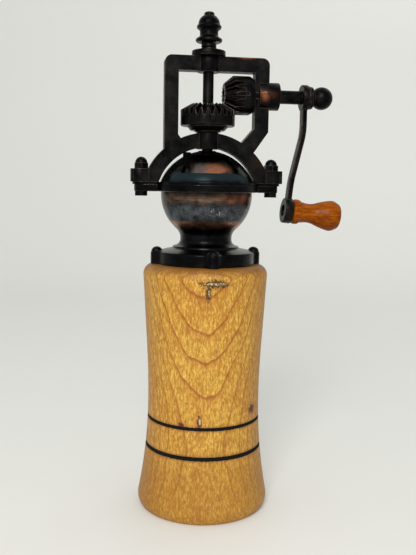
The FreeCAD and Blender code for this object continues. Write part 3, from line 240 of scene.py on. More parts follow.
# Marks in the wood's front: how far across, how high, half width and half height.
INCLUSION_BAR = (4.6, 114.9, 6.4, 1.9)
INCLUSION_STEM = (1.8, 111.0, 1.2, 4.2)
INCLUSION_BAR_CORE = (5.2, 115.0, 4.6, 0.55)
INCLUSION_STEM_CORE = (2.0, 110.6, 0.36, 1.6)
KNOTS = ((-10.2, 47.2, 1.5, 1.1), (-1.6, 49.4, 1.1, 3.0), (23.4, 52.5, 1.2, 1.8))
PALE_FLECK = (-1.4, 49.6, 0.5, 1.5)

# The hopper bowl, from its lobed flange up to its rim and two ears.
FLANGE_RADIUS, FLANGE_TOP = 23.8, 127.5
LOBE_RADIUS, LOBE_CIRCLE = 3.1, 24.0
LOBE_HALF_WIDTH, LOBE_ROOT = 2.69, 4.7
STEP_RADIUS, STEP_LOW, STEP_HIGH = 16.4, 129.3, 130.2
NECK_RADIUS, NECK_BORE, NECK_LOW, NECK_HIGH = 12.6, 10.6, 133.2, 134.8
BOWL_RADIUS, BOWL_WALL, BOWL_CENTRE = 22.2, 2.0, 155.3
BOWL_FOOT = BOWL_CENTRE - 16.3
RIM_RADIUS, RIM_LOW, RIM_HIGH = 25.1, 156.5, 159.8
EAR_HALF_WIDTH = 4.7
BOWL_EAR_LENGTH = 35.3

# Level bands of colour on the bowl and the dome, as heights, and marks worn into the metal. The dome's
# band is a painted reflection, and so is the door's spot, copper-tinted where the metal is worn.
BROWN_BAND = (151.6, 155.0)
BLUE_BAND = (142.0, 150.4)
COPPER_BAND = (139.4, 142.4)
DUST_BAND = (141.0, 153.0)
SCRATCHED_ACROSS, SCRATCHED_BAND = (0.5, 9.0), (145.4, 149.0)
DOME_REFLECTION_BAND = (161.6, 165.6)
PAINTED_REFLECTION_SPOT = (1.0, 167.2, 11.5, 3.4)
FRAME_SPOTS = ((18.4, 220.6, 4.6, 0.9, 0.6), (26.6, 202.4, 2.6, 2.8, 0.55),
               (30.4, 203.4, 3.0, 2.0, 0.12), (24.0, 172.0, 4.0, 6.0, 0.03))

# The handle, measured outwards along its pin from the crank's eye.
GRIP_EYE = Vector((40.6, 0.0, 147.9))
GRIP_DROP = math.radians(6.0)
GRIP_START, GRIP_END = 2.4, 26.75
GRIP_BORE, GRIP_RECESS, GRIP_RECESS_DEPTH = 2.07, 3.6, 2.7


# ---------------------------------------------------------------- materials

def tone(red, green, blue):
    """A screen colour, 0 to 255, as the linear colour that shaders use."""
    def linear(level):
        share = level / 255
        return share / 12.92 if share <= 0.04045 else ((share + 0.055) / 1.055) ** 2.4
    return (linear(red), linear(green), linear(blue), 1.0)


class Finish:
    """A node-based material whose patterns are laid out in the object's own millimetres.

    place is the spot as a vector, x, y and z are its parts, and across is how far it lies to the right
    on the mill's front.
    """

    EDGE_RADIUS = 0.4
    EDGE_AGREEMENT = (0.93, 0.998)

    def __init__(self, name):
        self.material = bpy.data.materials.new(name)
        self.material.use_nodes = True
        self.tree = self.material.node_tree
        self.shader = self.tree.nodes["Principled BSDF"]
        spot = self.add("ShaderNodeTexCoord")
        scaled = self.add("ShaderNodeVectorMath", operation="SCALE")
        scaled.inputs["Scale"].default_value = 1 / MM
        self.join(spot.outputs["Object"], scaled.inputs[0])
        self.place = scaled.outputs[0]
        parts = self.add("ShaderNodeSeparateXYZ")
        self.join(self.place, parts.inputs[0])
        self.x, self.y, self.z = parts.outputs
        along_x, along_y = FRONT_ACROSS
        self.across = self.math("ADD", self.scaled(self.x, along_x), self.scaled(self.y, along_y))

    def add(self, kind, **settings):
        node = self.tree.nodes.new(kind)
        for key, value in settings.items():
            setattr(node, key, value)
        return node

    def join(self, value, socket):
        """Feed a socket with another node's output or with a plain value."""
        if isinstance(value, bpy.types.NodeSocket):
            self.tree.links.new(value, socket)
        else:
            socket.default_value = value

    def math(self, operation, first, second=0.0, clamp=False):
        node = self.add("ShaderNodeMath", operation=operation, use_clamp=clamp)
        self.join(first, node.inputs[0])
        self.join(second, node.inputs[1])
        return node.outputs[0]

    def sum(self, *values):
        total = values[0]
        for value in values[1:]:
            total = self.math("ADD", total, value)
        return total

    def scaled(self, value, factor):
        return self.math("MULTIPLY", value, factor)

    def product(self, first, second):
        return self.math("MULTIPLY", first, second)

    def distance(self, first, second):
        """The length of a flat vector with these two parts."""
        squares = self.sum(self.product(first, first), self.product(second, second))
        return self.math("SQRT", squares)

    def stretched(self, along_x, along_y, along_z):
        """The place with each direction multiplied, so that patterns draw out along the small ones."""
        node = self.add("ShaderNodeVectorMath", operation="MULTIPLY")
        self.join(self.place, node.inputs[0])
        node.inputs[1].default_value = (along_x, along_y, along_z)
        return node.outputs[0]

    def noise(self, scale, detail=3.0, rough=0.5, place=None, distortion=0.0):
        node = self.add("ShaderNodeTexNoise")
        self.join(place or self.place, node.inputs["Vector"])
        node.inputs["Scale"].default_value = scale
        node.inputs["Detail"].default_value = detail
        node.inputs["Roughness"].default_value = rough
        node.inputs["Distortion"].default_value = distortion
        return node.outputs["Fac"]

    def centred(self, value, width):
        """A 0 to 1 pattern as a number from minus to plus half of width."""
        return self.scaled(self.math("SUBTRACT", value, 0.5), width)

    def rise(self, value, low, high):
        """0 below low, 1 above high, smooth between them."""
        node = self.add("ShaderNodeMapRange", interpolation_type="SMOOTHSTEP")
        self.join(value, node.inputs["Value"])
        self.join(low, node.inputs["From Min"])
        self.join(high, node.inputs["From Max"])
        return node.outputs["Result"]

    def fall(self, value, low, high):
        return self.math("SUBTRACT", 1.0, self.rise(value, low, high))

    def band(self, value, low, high, soft):
        """1 between low and high, fading over the soft distance."""
        up = self.rise(value, low - soft, low + soft)
        down = self.fall(value, high - soft, high + soft)
        return self.product(up, down)

    def mix(self, share, first, second):
        node = self.add("ShaderNodeMix", data_type="RGBA")
        self.join(share, node.inputs["Factor"])
        self.join(first, node.inputs[6])
        self.join(second, node.inputs[7])
        return node.outputs[2]

    def over(self, colour, share, amount, top):
        """A colour with another laid over it by the given amount where share is 1."""
        return self.mix(self.scaled(share, amount), colour, top)

    def blend(self, share, first, second):
        """A number between two others."""
        node = self.add("ShaderNodeMix", data_type="FLOAT")
        self.join(share, node.inputs["Factor"])
        self.join(first, node.inputs[2])
        self.join(second, node.inputs[3])
        return node.outputs[0]

    def edges(self):
        """1 on sharp outer and inner edges, 0 on open faces, where a rounded surface would turn away."""
        rounded = self.add("ShaderNodeBevel", samples=4)
        rounded.inputs["Radius"].default_value = self.EDGE_RADIUS * MM
        agreement = self.add("ShaderNodeVectorMath", operation="DOT_PRODUCT")
        self.join(rounded.outputs["Normal"], agreement.inputs[0])
        self.join(self.add("ShaderNodeNewGeometry").outputs["Normal"], agreement.inputs[1])
        return self.fall(agreement.outputs["Value"], *self.EDGE_AGREEMENT)

    def edge_wear_and_highlight(self, fine):
        """The edges, broken up by a fine noise: where copper wears through, and where pale highlight lines
        are painted.
        """
        return self.product(self.edges(), self.rise(fine, 0.36, 0.58))

    def set(self, **values):
        """Feed the shader's own sockets, with _ for each space in a name."""
        for key, value in values.items():
            self.join(value, self.shader.inputs[key.replace("_", " ")])

    def bump(self, height, depth, strength=1.0):
        """Relief of the given depth in millimetres for a 0 to 1 height."""
        node = self.add("ShaderNodeBump")
        self.join(height, node.inputs["Height"])
        node.inputs["Distance"].default_value = depth * MM
        node.inputs["Strength"].default_value = strength
        self.join(node.outputs["Normal"], self.shader.inputs["Normal"])


RING_HEART = (3.5, 26.0)
RING_GAP = 1.975
RING_PHASE = 0.18
RING_CONE = 0.078
RINGS_FADE_IN = (7.0, 16.0)


def growth_rings(f):
    """Nested cones of growth about a heart behind the front.

    Gives the soft glow and the thin line at the end of each ring, and how strongly the ring shows.
    """
    slow = f.noise(0.045, 2.0, 0.5, f.stretched(1.0, 1.0, 0.5))
    wavy = f.noise(0.2, 2.0, 0.5, f.stretched(1.0, 1.0, 0.4))
    dx = f.math("SUBTRACT", f.x, RING_HEART[0])
    dy = f.math("SUBTRACT", f.y, RING_HEART[1])
    drift = f.scaled(f.z, RING_CONE)
    depth = f.sum(f.distance(dx, dy), drift, f.centred(slow, 1.5), f.centred(wavy, 0.5))
    rings = f.math("ADD", f.math("DIVIDE", depth, RING_GAP), RING_PHASE)
    within = f.math("FRACT", rings)
    lots = f.add("ShaderNodeTexWhiteNoise", noise_dimensions="1D")
    f.join(f.math("FLOOR", rings), lots.inputs["W"])
    strength = f.product(f.blend(lots.outputs["Value"], 0.45, 1.0), f.rise(f.z, *RINGS_FADE_IN))
    glow = f.product(f.rise(within, 0.5, 0.95), f.fall(within, 0.95, 1.0))
    line = f.product(f.rise(within, 0.84, 0.95), f.fall(within, 0.96, 1.0))
    return glow, line, strength


def darker_ends_and_painted_side_shade(f, colour):
    """Darker at the foot and on the shoulder, with painted shade round the sides."""
    blotch = f.noise(0.11, 4.0, 0.6)
    foot = f.fall(f.sum(f.z, f.centred(blotch, 40.0)), 18.0, 44.0)
    colour = f.over(colour, foot, 0.45, tone(146, 94, 26))
    # Painted shade: the colour darkens towards the left and right sides, where the light falls off.
    side = f.rise(f.math("ABSOLUTE", f.across), 17.0, 31.0)
    colour = f.over(colour, side, 0.3, tone(136, 88, 28))
    shoulder = f.rise(f.sum(f.z, f.centred(blotch, 5.0)), BODY_HEIGHT - 4.9, BODY_HEIGHT - 0.5)
    return f.over(colour, shoulder, 0.75, tone(112, 66, 22))


def front_marks(f, colour, ragged):
    """The bark inclusion, the knots and the pale fleck on the front."""
    front = f.math("LESS_THAN", f.y, 0.0)

    def patch(middle, height, half_width, half_height, soft=0.3):
        """An irregular patch on the front, 1 inside and 0 outside."""
        du = f.math("DIVIDE", f.math("SUBTRACT", f.across, middle), half_width)
        dz = f.math("DIVIDE", f.math("SUBTRACT", f.z, height), half_height)
        uneven = f.math("ADD", f.distance(du, dz), ragged)
        return f.product(f.fall(uneven, 1.0 - soft, 1.0 + soft), front)

    inclusion = f.math("MAXIMUM", patch(*INCLUSION_BAR), patch(*INCLUSION_STEM))
    core = f.math("MAXIMUM", patch(*INCLUSION_BAR_CORE), patch(*INCLUSION_STEM_CORE))
    colour = f.over(colour, inclusion, 0.92, tone(58, 36, 16))
    cracked = f.rise(f.noise(1.6, 3.0, 0.7), 0.44, 0.54)
    colour = f.mix(f.product(f.scaled(core, 0.9), cracked), colour, tone(206, 186, 140))
    for middle, height, half_width, half_height in KNOTS:
        halo = patch(middle, height, half_width * 2.2, half_height * 2.0, 0.6)
        colour = f.over(colour, halo, 0.35, tone(160, 84, 30))
        knot = patch(middle, height, half_width, half_height)
        colour = f.over(colour, knot, 0.9, tone(44, 26, 14))
    return f.mix(patch(*PALE_FLECK), colour, tone(204, 170, 116))


def burnt_grooves(f, colour, ragged):
    """The colour with its two burnt grooves, and where they are burnt."""
    burnt = []
    uneven_height = f.math("ADD", f.z, f.scaled(ragged, 0.22))
    for height, half_width in zip(GROOVES, GROOVE_HALF_WIDTHS):
        away = f.math("ABSOLUTE", f.math("SUBTRACT", uneven_height, height))
        scorched = f.fall(away, half_width, half_width + 1.6)
        colour = f.over(colour, scorched, 0.5, tone(112, 62, 22))
        burnt.append(f.fall(away, half_width, half_width + 0.25))
    char = f.math("MAXIMUM", *burnt)
    return f.mix(char, colour, tone(12, 9, 7)), char


def body_wood():
    """Oiled blond wood, its nested growth rings cut by the turned surface, with two burnt grooves."""
    f = Finish("oiled_body_wood")
    glow, line, strength = growth_rings(f)
    broad = f.noise(0.05, 3.0, 0.55, f.stretched(1.0, 1.0, 0.5))
    fleck = f.noise(1.0, 3.0, 0.7, f.stretched(1.15, 1.15, 0.42))
    mottle = f.noise(1.0, 4.0, 0.7, f.stretched(0.5, 0.5, 0.32))
    fibre = f.noise(1.0, 3.0, 0.6, f.stretched(1.7, 1.7, 0.06))
    pores = f.rise(f.noise(1.0, 2.0, 0.7, f.stretched(2.4, 2.4, 0.4)), 0.58, 0.70)

    colour = f.mix(f.rise(broad, 0.3, 0.7), tone(188, 133, 42), tone(206, 158, 62))
    colour = f.over(colour, f.rise(fleck, 0.5, 0.62), 0.65, tone(230, 190, 96))
    colour = f.over(colour, f.fall(fleck, 0.38, 0.5), 0.6, tone(158, 104, 24))
    colour = f.over(colour, f.fall(mottle, 0.36, 0.52), 0.5, tone(160, 104, 34))
    colour = f.over(colour, f.rise(fibre, 0.5, 0.66), 0.5, tone(150, 96, 34))
    colour = f.mix(f.product(f.scaled(glow, 0.5), strength), colour, tone(166, 98, 28))
    colour = f.mix(f.product(f.scaled(line, 0.85), strength), colour, tone(138, 70, 18))
    colour = f.over(colour, pores, 0.65, tone(112, 66, 20))
    colour = darker_ends_and_painted_side_shade(f, colour)
    ragged = f.centred(f.noise(0.9, 4.0, 0.75), 3.2)
    colour = front_marks(f, colour, ragged)
    colour, char = burnt_grooves(f, colour, ragged)

    oiled = f.blend(f.noise(0.35, 3.0), 0.40, 0.56)
    rough = f.math("MAXIMUM", oiled, f.scaled(char, 0.95))
    f.set(Base_Color=colour, Roughness=rough, Specular_IOR_Level=0.3)
    relief = f.sum(f.scaled(line, -0.5), f.scaled(pores, -0.6), f.scaled(fleck, 0.5))
    f.bump(relief, 0.06, 0.6)
    return f.material


def grip_wood():
    """Varnished orange wood with grain along the handle, and painted shade underneath."""
    f = Finish("varnished_grip_wood")
    streaks = f.noise(1.0, 3.0, 0.6, f.stretched(0.08, 0.7, 0.7))
    fine = f.noise(1.0, 2.0, 0.6, f.stretched(0.5, 3.2, 3.2))
    colour = f.mix(f.rise(streaks, 0.35, 0.66), tone(158, 82, 0), tone(112, 46, 0))
    colour = f.over(colour, f.rise(fine, 0.5, 0.72), 0.5, tone(84, 34, 0))
    # Painted shade: the lower part of the handle is darkened, where less light falls.
    painted_underside_shade = f.fall(f.z, 138.0, 150.0)
    colour = f.over(colour, painted_underside_shade, 0.5, tone(96, 38, 2))
    f.set(Base_Color=colour, Roughness=f.blend(f.noise(0.5, 3.0), 0.26, 0.38), Specular_IOR_Level=0.05,
          Coat_Weight=0.08, Coat_Roughness=0.12)
    f.bump(fine, 0.015, 0.4)
    return f.material


def patina(name, wear=0.012, gloss=0.3, grit=0.03, edge=0.14, spots=()):
    """Blackened bronze. The dark skin lets a little copper through at the edges and at the worn spots, and
    its edges carry painted pale highlight lines.

    wear and edge are how much copper shows on open faces and at edges, gloss is the lowest roughness
    and grit the depth of the casting's grain in millimetres. Each spot is the x and z of its middle,
    its half width and half height, and its strength.
    """
    f = Finish(name)
    cloud = f.noise(0.13, 4.0, 0.6)
    fine = f.noise(1.8, 4.0, 0.7)
    edges = f.edge_wear_and_highlight(fine)
    bare = f.sum(f.scaled(f.rise(cloud, 0.5, 0.74), wear), f.scaled(edges, edge))
    for x, z, half_x, half_z, strength in spots:
        dx = f.scaled(f.math("SUBTRACT", f.x, x), 1 / half_x)
        dz = f.scaled(f.math("SUBTRACT", f.z, z), 1 / half_z)
        uneven = f.sum(f.distance(dx, dz), f.centred(fine, 2.8), f.centred(cloud, 1.0))
        spot = f.fall(uneven, 0.1, 1.2)
        bare = f.math("MAXIMUM", bare, f.scaled(spot, strength))
    skin = f.mix(f.rise(cloud, 0.3, 0.7), tone(10, 10, 11), tone(30, 30, 29))
    skin = f.over(skin, f.rise(fine, 0.55, 0.72), 0.35, tone(66, 65, 63))
    # Painted highlight: pale grey lines along the edges stand in for the light they catch.
    skin = f.over(skin, edges, 0.4, tone(132, 126, 118))
    colour = f.mix(bare, skin, tone(168, 98, 62))
    rough = f.blend(f.rise(fine, 0.3, 0.7), gloss, gloss + 0.16)
    f.set(Base_Color=colour, Roughness=rough, Metallic=1.0)
    f.bump(f.sum(f.scaled(fine, 0.6), f.scaled(f.noise(5.0, 2.0), 0.5)), grit, 0.5)
    return f.material


def bowl_bronze():
    """The hopper bowl's patina: level bands of brown, blue-black and copper, and a black foot. The brown
    band is painted lighter orange on its right side as a reflection.
    """
    f = Finish("banded_hopper_bronze")
    waves = f.noise(0.12, 3.0, 0.6, f.stretched(1.0, 1.0, 2.5))
    streak = f.noise(1.0, 3.0, 0.6, f.stretched(0.12, 0.12, 1.3))
    height = f.sum(f.z, f.centred(waves, 3.4))
    fine = f.noise(2.4, 4.0, 0.75)
    speck = f.rise(f.noise(2.2, 2.0, 0.6), 0.62, 0.7)
    patches = f.noise(0.25, 3.0, 0.6)
    mottled = f.rise(f.sum(f.scaled(fine, 0.6), f.scaled(patches, 0.5)), 0.42, 0.66)
    cloud = f.rise(f.noise(0.18, 3.0, 0.6), 0.38, 0.62)
    colour = f.mix(f.rise(waves, 0.3, 0.7), tone(14, 14, 15), tone(27, 26, 27))

    brown = f.product(f.band(height, *BROWN_BAND, 1.8), f.blend(cloud, 0.35, 0.9))
    brown_tone = f.mix(f.rise(streak, 0.4, 0.65), tone(88, 74, 64), tone(128, 98, 78))
    # Painted reflection: the brown band turns lighter orange on the right, where a reflection falls on the
    # copper-toned metal.
    painted_reflection_side = f.rise(f.across, 4.0, 16.0)
    brown_tone = f.over(brown_tone, painted_reflection_side, 0.7, tone(150, 84, 54))
    colour = f.mix(brown, colour, brown_tone)
    blue_tone = f.mix(mottled, tone(26, 29, 33), tone(92, 97, 102))
    colour = f.over(colour, f.band(height, *BLUE_BAND, 1.8), 0.8, blue_tone)
    copper = f.product(f.band(height, *COPPER_BAND, 1.0), f.blend(cloud, 0.4, 0.95))
    colour = f.mix(copper, colour, tone(176, 128, 98))

    dust = f.product(speck, f.band(height, *DUST_BAND, 2.0))
    colour = f.over(colour, dust, 0.7, tone(136, 128, 122))
    scratches = f.rise(f.noise(1.4, 3.0, 0.7), 0.58, 0.66)
    scratched = f.product(scratches, f.band(f.across, *SCRATCHED_ACROSS, 1.5))
    scratched = f.product(scratched, f.band(f.z, *SCRATCHED_BAND, 0.8))
    scratched = f.product(scratched, f.math("LESS_THAN", f.y, 0.0))
    colour = f.over(colour, scratched, 0.9, tone(226, 224, 222))
    # Painted highlight: pale grey lines along the edges stand in for the light they catch.
    colour = f.over(colour, f.edge_wear_and_highlight(fine), 0.5, tone(132, 126, 118))
    rough = f.blend(f.rise(fine, 0.3, 0.7), 0.2, 0.36)
    f.set(Base_Color=colour, Roughness=rough, Metallic=1.0)
    f.bump(fine, 0.03, 0.35)
    return f.material


def dome_bronze():
    """The dome's polished black skin, with a painted blue-grey reflection band low down."""
    f = Finish("polished_dome_bronze")
    waves = f.noise(0.12, 3.0, 0.6, f.stretched(1.0, 1.0, 2.0))
    fine = f.noise(2.4, 4.0, 0.75)
    height = f.sum(f.z, f.centred(waves, 2.0))
    colour = f.mix(f.rise(waves, 0.3, 0.7), tone(12, 12, 13), tone(24, 23, 24))
    # Painted reflection: a blue-grey band low down stands in for the pale wall mirrored in the dome.
    colour = f.over(colour, f.band(height, *DOME_REFLECTION_BAND, 0.9), 0.7, tone(50, 66, 70))
    f.set(Base_Color=colour, Roughness=f.blend(f.rise(fine, 0.3, 0.7), 0.16, 0.3), Metallic=1.0)
    f.bump(fine, 0.02, 0.3)
    return f.material


def door_bronze():
    """The sliding door: dark metal with a painted reflection patch, grey on one side and copper on the
    other where the metal is worn through.
    """
    f = Finish("door_bronze_painted_reflection")
    waves = f.noise(0.2, 3.0, 0.6)
    fine = f.noise(1.0, 3.0, 0.7, f.stretched(0.5, 0.5, 3.0))
    middle, height, half_width, half_height = PAINTED_REFLECTION_SPOT
    du = f.scaled(f.math("SUBTRACT", f.across, middle), 1 / half_width)
    dz = f.scaled(f.math("SUBTRACT", f.z, height), 1 / half_height)
    # Painted reflection: a pale patch where the door mirrors the light surroundings, grey on the left and
    # copper-tinted on the right where the metal is worn.
    painted_reflection_patch = f.fall(f.sum(f.distance(du, dz), f.centred(waves, 0.8)), 0.6, 1.15)
    reflection_and_copper_tone = f.mix(f.rise(f.across, -3.0, 3.0), tone(120, 108, 100), tone(178, 118, 86))
    colour = f.mix(painted_reflection_patch, tone(28, 28, 29), reflection_and_copper_tone)
    colour = f.over(colour, f.rise(fine, 0.45, 0.7), 0.45, tone(46, 38, 34))
    above = f.rise(f.z, 169.8, 172.0)
    colour = f.mix(above, colour, tone(14, 14, 15))
    tab = f.product(f.rise(f.z, 168.0, 168.6), f.fall(f.across, -8.6, -7.2))
    colour = f.mix(tab, colour, tone(14, 14, 15))
    f.set(Base_Color=colour, Roughness=f.blend(fine, 0.24, 0.4), Metallic=1.0)
    f.bump(fine, 0.02, 0.4)
    return f.material


def bare_steel():
    """Plain worn steel for the shaft and the grinding parts."""
    f = Finish("plain_steel")
    lines = f.noise(1.0, 3.0, 0.6, f.stretched(0.4, 0.4, 6.0))
    fine = f.noise(3.0, 3.0, 0.6)
    colour = f.mix(f.rise(lines, 0.35, 0.7), tone(150, 150, 150), tone(112, 110, 108))
    f.set(Base_Color=colour, Roughness=f.blend(fine, 0.28, 0.46), Metallic=1.0)
    f.bump(lines, 0.02, 0.4)
    return f.material


def stage_paint():
    """Plain pale paint with a faintly uneven sheen."""
    f = Finish("pale_stage")
    f.set(Base_Color=tone(232, 232, 226), Roughness=f.blend(f.noise(0.02, 2.0), 0.55, 0.65))
    return f.material


WOOD = body_wood()
GRIP = grip_wood()
BOWL = bowl_bronze()
DOME = dome_bronze()
DOOR = door_bronze()
DARK = patina("dark_bronze")
WORN = patina("worn_bronze", wear=0.06, gloss=0.26, edge=0.4)
FRAME = patina("cast_frame_bronze", gloss=0.36, grit=0.05, spots=FRAME_SPOTS)
CRANK = patina("cast_crank_bronze", wear=0.03, gloss=0.32, grit=0.05, edge=0.3)
STEEL = bare_steel()


# ---------------------------------------------------------------- the fine meshes

def sweep_radius(narrowing, drop):
    """Radius of the arc that narrows by so much over a drop and ends upright."""
    return (narrowing * narrowing + drop * drop) / (narrowing * 2)


def make_wood_body():
    low_sweep = sweep_radius(BELLY_RADIUS - WAIST_RADIUS, WAIST_HEIGHT - BELLY_HEIGHT)
    high_sweep = sweep_radius(FLARE_RADIUS - WAIST_RADIUS, FLARE_HEIGHT - WAIST_HEIGHT)

    def surface(height):
        return WAIST_RADIUS + low_sweep - math.sqrt(low_sweep ** 2 - (WAIST_HEIGHT - height) ** 2)

    line = Profile(FOOT_HOLE, 0.0, ease=0.4)
    line.to(FOOT_RADIUS, 0.0, ease=0.7)
    line.to(BELLY_RADIUS, BELLY_HEIGHT, BELLY_ROUND, step=0.8)
    for height, half_width in zip(GROOVES, GROOVE_HALF_WIDTHS):
        low, high = height - half_width, height + half_width
        line.to(surface(low), low, -low_sweep, ease=0.2, step=0.8)
        line.to(surface(high), high, -half_width * 1.02, ease=0.2)
    line.to(WAIST_RADIUS, WAIST_HEIGHT, -low_sweep, step=0.8)
    line.to(FLARE_RADIUS, FLARE_HEIGHT, -high_sweep, step=0.8)
    line.to(TOP_RADIUS, BODY_HEIGHT - TOP_ROUND, step=0.8)
    line.to(TOP_RADIUS - TOP_ROUND, BODY_HEIGHT, TOP_ROUND, step=0.6)
    line.to(BODY_BORE, BODY_HEIGHT, ease=0.4)
    line.to(BODY_BORE, FOOT_HOLE_DEPTH)
    line.to(FOOT_HOLE, FOOT_HOLE_DEPTH, ease=0.3)
    piece = turned("turned_body", line.close(), True, angles=even_angles(224))
    fitted(piece, "base", "body_wood", WOOD, "wood_body")


def across(radius, along_axis):
    """Half width of a circle at a distance from its centre."""
    return math.sqrt(radius * radius - along_axis * along_axis)


def close_angles(middles, half_span=13.0, step=0.6):
    """Even angles all round, with closer ones near some directions given in degrees."""
    angles = set(round(360 * i / LATHE_STEPS, 4) for i in range(LATHE_STEPS))
    count = round(half_span / step)
    for middle in middles:
        angles = {a for a in angles if abs((a - middle + 180) % 360 - 180) > half_span}
        angles |= {round((middle + step * i) % 360, 4) for i in range(-count, count + 1)}
    return [math.radians(a) for a in sorted(angles)]


def lobe_reach(angle):
    """How far the flange's four lobes stand out at an angle, with a filleted root."""
    quarter = TURN / 4
    sideways = abs((angle + quarter / 2) % quarter - quarter / 2) * LOBE_CIRCLE
    if sideways < LOBE_HALF_WIDTH:
        return LOBE_CIRCLE - FLANGE_RADIUS + across(LOBE_RADIUS, sideways)
    edge = LOBE_CIRCLE - FLANGE_RADIUS + across(LOBE_RADIUS, LOBE_HALF_WIDTH)
    return edge * (max(0.0, LOBE_ROOT - sideways) / (LOBE_ROOT - LOBE_HALF_WIDTH)) ** 2


def ear_reach(angle, length):
    """How far the two round-ended ears stand out of the rim at an angle."""
    along_x, sideways = abs(math.cos(angle)), abs(math.sin(angle))
    centre = length - EAR_HALF_WIDTH
    inside = EAR_HALF_WIDTH ** 2 - (centre * sideways) ** 2
    if inside > 0 and (centre * along_x + math.sqrt(inside)) * along_x >= centre:
        far = centre * along_x + math.sqrt(inside)
    else:
        far = EAR_HALF_WIDTH / max(sideways, 1e-6)
    return max(0.0, far - RIM_RADIUS)


def share(value, low, high):
    """0 below low, 1 above high, smooth between."""
    t = min(1.0, max(0.0, (value - low) / (high - low)))
    return t * t * (3 - 2 * t)


def make_hopper_bowl():
    inner = BOWL_RADIUS - BOWL_WALL
    line = Profile(NECK_BORE, BODY_HEIGHT)
    line.to(FLANGE_RADIUS, BODY_HEIGHT, ease=0.25)
    line.to(FLANGE_RADIUS, FLANGE_TOP, ease=0.8)
    line.to(STEP_RADIUS, STEP_LOW, 60.0, ease=0.2, step=1.0)
    line.to(STEP_RADIUS - 0.3, STEP_HIGH, ease=0.3)
    line.to(STEP_RADIUS - 1.9, STEP_HIGH + 0.5, ease=0.3)
    line.to(NECK_RADIUS, NECK_LOW, -3.2, ease=0.2)
    line.to(NECK_RADIUS, NECK_HIGH)
    line.to(across(BOWL_RADIUS, BOWL_CENTRE - BOWL_FOOT), BOWL_FOOT, -6.0, ease=0.2)
    line.to(across(BOWL_RADIUS, RIM_LOW - BOWL_CENTRE), RIM_LOW, BOWL_RADIUS, ease=0.25, step=1.0)
    line.to(RIM_RADIUS, RIM_LOW, ease=0.5)
    line.to(RIM_RADIUS, RIM_HIGH, ease=0.3)
    line.to(across(inner, RIM_HIGH - BOWL_CENTRE), RIM_HIGH, ease=0.3)
    line.to(inner, BOWL_CENTRE, -inner)
    line.to(NECK_BORE, BOWL_CENTRE - across(inner, NECK_BORE), -inner)

    def reach(radius, height, angle):
        """The lobes grow out of the flange's rim and the ears out of the bowl's rim."""
        if height < FLANGE_TOP + 1.5:
            return lobe_reach(angle) * share(radius, 19.5, 23.0)
        if height > RIM_LOW - 0.1:
            return ear_reach(angle, BOWL_EAR_LENGTH) * share(radius, 22.6, 24.4)
        return 0.0

    angles = close_angles((0, 90, 180, 270))
    piece = turned("cast_bowl", line.close(), True, angles=angles, reach=reach)
    fitted(piece, "base", "dark_bronze", BOWL, "hopper_bowl")


def make_grip():
    """The turned handle: a foot bead, a thin neck and a swelling towards the open end."""
    start, end = GRIP_START, GRIP_END
    line = Profile(GRIP_BORE, start)
    line.to(5.2, start, ease=0.4)
    line.to(6.1, start + 2.1, 1.8, step=0.3)
    line.to(5.35, start + 4.0, 2.0, step=0.3)
    line.to(5.2, start + 4.6, -0.7, step=0.3)
    line.to(4.7, start + 8.6, -16.0, step=0.6)
    line.to(5.2, start + 11.4, -14.0, step=0.6)
    line.to(7.5, end - 5.2, 40.0, ease=0.6, step=0.8)
    line.to(6.6, end - 1.6, 4.4, ease=0.5, step=0.4)
    line.to(4.9, end, 2.0, ease=0.2, step=0.3)
    line.to(GRIP_RECESS, end, ease=0.2)
    line.to(GRIP_RECESS, end - GRIP_RECESS_DEPTH)
    line.to(GRIP_BORE, end - GRIP_RECESS_DEPTH)
    along_pin = Matrix.Rotation(math.radians(90) + GRIP_DROP, 4, "Y")
    place = Matrix.Translation(GRIP_EYE) @ along_pin
    piece = turned("turned_grip", line.close(), True, place, angles=even_angles(96))
    fitted(piece, "grip", "grip_wood", GRIP, "handle_knob")


make_wood_body()
make_hopper_bowl()
make_grip()
# The other CAD nodes in their materials, with how far their sharp edges are rounded.
for material, rounded in (
    (DOME, {"hopper_dome": 0.15}),
    (DOOR, {"dome_door": 0.0}),
    (FRAME, {"yoke_frame": 0.5}),
    (CRANK, {"crank_arm": 0.4}),
    (WORN, {"gear_washer": 0.2, "crank_washer": 0.2}),
    (STEEL, {"gear_key": 0.0, "burr_ring": 0.0, "burr_cone": 0.0, "rotor_clip": 0.0}),
    (DARK, {"yoke_screws": 0.5, "acorn_nuts": 0.2, "base_screws": 0.2, "top_bush": 0.25,
            "drive_shaft": 0.0, "finial_nut": 0.0, "adjuster_spring": 0.0, "crown_gear": 0.15,
            "pinion_gear": 0.15, "pinion_pin": 0.0, "crank_shaft": 0.0, "crank_nut": 0.0,
            "handle_pin": 0.0, "bottom_bridge": 0.2, "bridge_screws": 0.1}),
):
    for node, edge in rounded.items():
        dressed(node, material, edge)


# ---------------------------------------------------------------- stage, light and camera

# The view: degrees turned to the crank's side, degrees down, degrees of roll, then metres and millimetres.
VIEW_TURN = 9.0
VIEW_DROP = 6.82
VIEW_ROLL = 0.95
CAMERA_AWAY = 0.3635
CAMERA_SIDE = 0.0014
CAMERA_HEIGHT = 0.15794
LENS, SENSOR_WIDTH = 47.94, 36.0

# The stage in millimetres, its back wall standing behind a round cove.
FLOOR_FRONT, FLOOR_BACK = -1400.0, 700.0
COVE_RADIUS = 400.0
STAGE_TOP, STAGE_HALF_WIDTH = 2600.0, 2600.0

# The lights: place, aim and size in metres, and power in watts.
WALL_LIGHT = ((0.75, 0.5, 1.1), (0.4, 1.1, 0.7), (0.5, 0.5), 1.8)
KEY_LIGHT = ((-0.28, -0.95, 0.75), (0, 0, 0.12), (0.45, 0.6), 9.6)
SKY_COLOUR, SKY_STRENGTH = (0.97, 0.98, 1.0, 1.0), 0.63


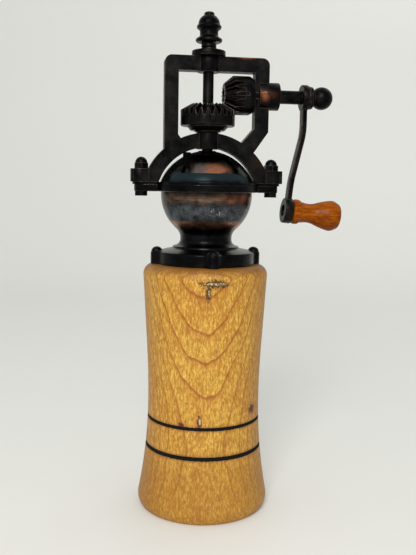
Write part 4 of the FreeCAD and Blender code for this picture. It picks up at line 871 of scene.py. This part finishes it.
def make_stage():
    """A floor that curves up into a wall behind the object."""
    wall = FLOOR_BACK + COVE_RADIUS
    line = Profile(FLOOR_FRONT, 0.0).to(FLOOR_BACK, 0.0, step=200)
    line = line.to(wall, COVE_RADIUS, COVE_RADIUS, step=40).to(wall, STAGE_TOP, step=400).points()
    turn = Matrix.Rotation(math.radians(-VIEW_TURN), 4, "Z")
    points = [(side * STAGE_HALF_WIDTH, along_y, up) for along_y, up in line for side in (-1, 1)]
    faces = [(2 * i, 2 * i + 1, 2 * i + 3, 2 * i + 2) for i in range(len(line) - 1)]
    floor = mesh_object("floor", points, faces, turn)
    floor.data.materials.append(stage_paint())


def soft_light(name, place, target, size, power):
    """A rectangular light at a place, turned to its target."""
    data = bpy.data.lights.new(name, "AREA")
    data.shape = "RECTANGLE"
    data.size, data.size_y = size
    data.energy = power
    lamp = bpy.data.objects.new(name, data)
    lamp.location = place
    lamp.rotation_euler = (Vector(target) - Vector(place)).to_track_quat("-Z", "Y").to_euler()
    scene.collection.objects.link(lamp)


def make_camera():
    turn = math.radians(VIEW_TURN)
    right = Vector((math.cos(turn), -math.sin(turn), 0))
    ahead = Vector((math.sin(turn), math.cos(turn), 0))
    data = bpy.data.cameras.new("camera")
    data.lens = LENS
    data.sensor_width = SENSOR_WIDTH
    camera = bpy.data.objects.new("camera", data)
    look = Matrix.Rotation(-turn, 4, "Z") @ Matrix.Rotation(math.radians(90 - VIEW_DROP), 4, "X")
    look = look @ Matrix.Rotation(math.radians(VIEW_ROLL), 4, "Z")
    place = right * CAMERA_SIDE - ahead * CAMERA_AWAY + Vector((0, 0, CAMERA_HEIGHT))
    camera.matrix_world = Matrix.Translation(place) @ look
    scene.collection.objects.link(camera)
    scene.camera = camera


def make_world():
    world = bpy.data.worlds.new("studio")
    world.use_nodes = True
    sky = world.node_tree.nodes["Background"].inputs
    sky["Color"].default_value = SKY_COLOUR
    sky["Strength"].default_value = SKY_STRENGTH
    scene.world = world


make_stage()
make_world()
soft_light("wall", *WALL_LIGHT)
soft_light("key", *KEY_LIGHT)
make_camera()
scene.view_settings.view_transform = "Standard"
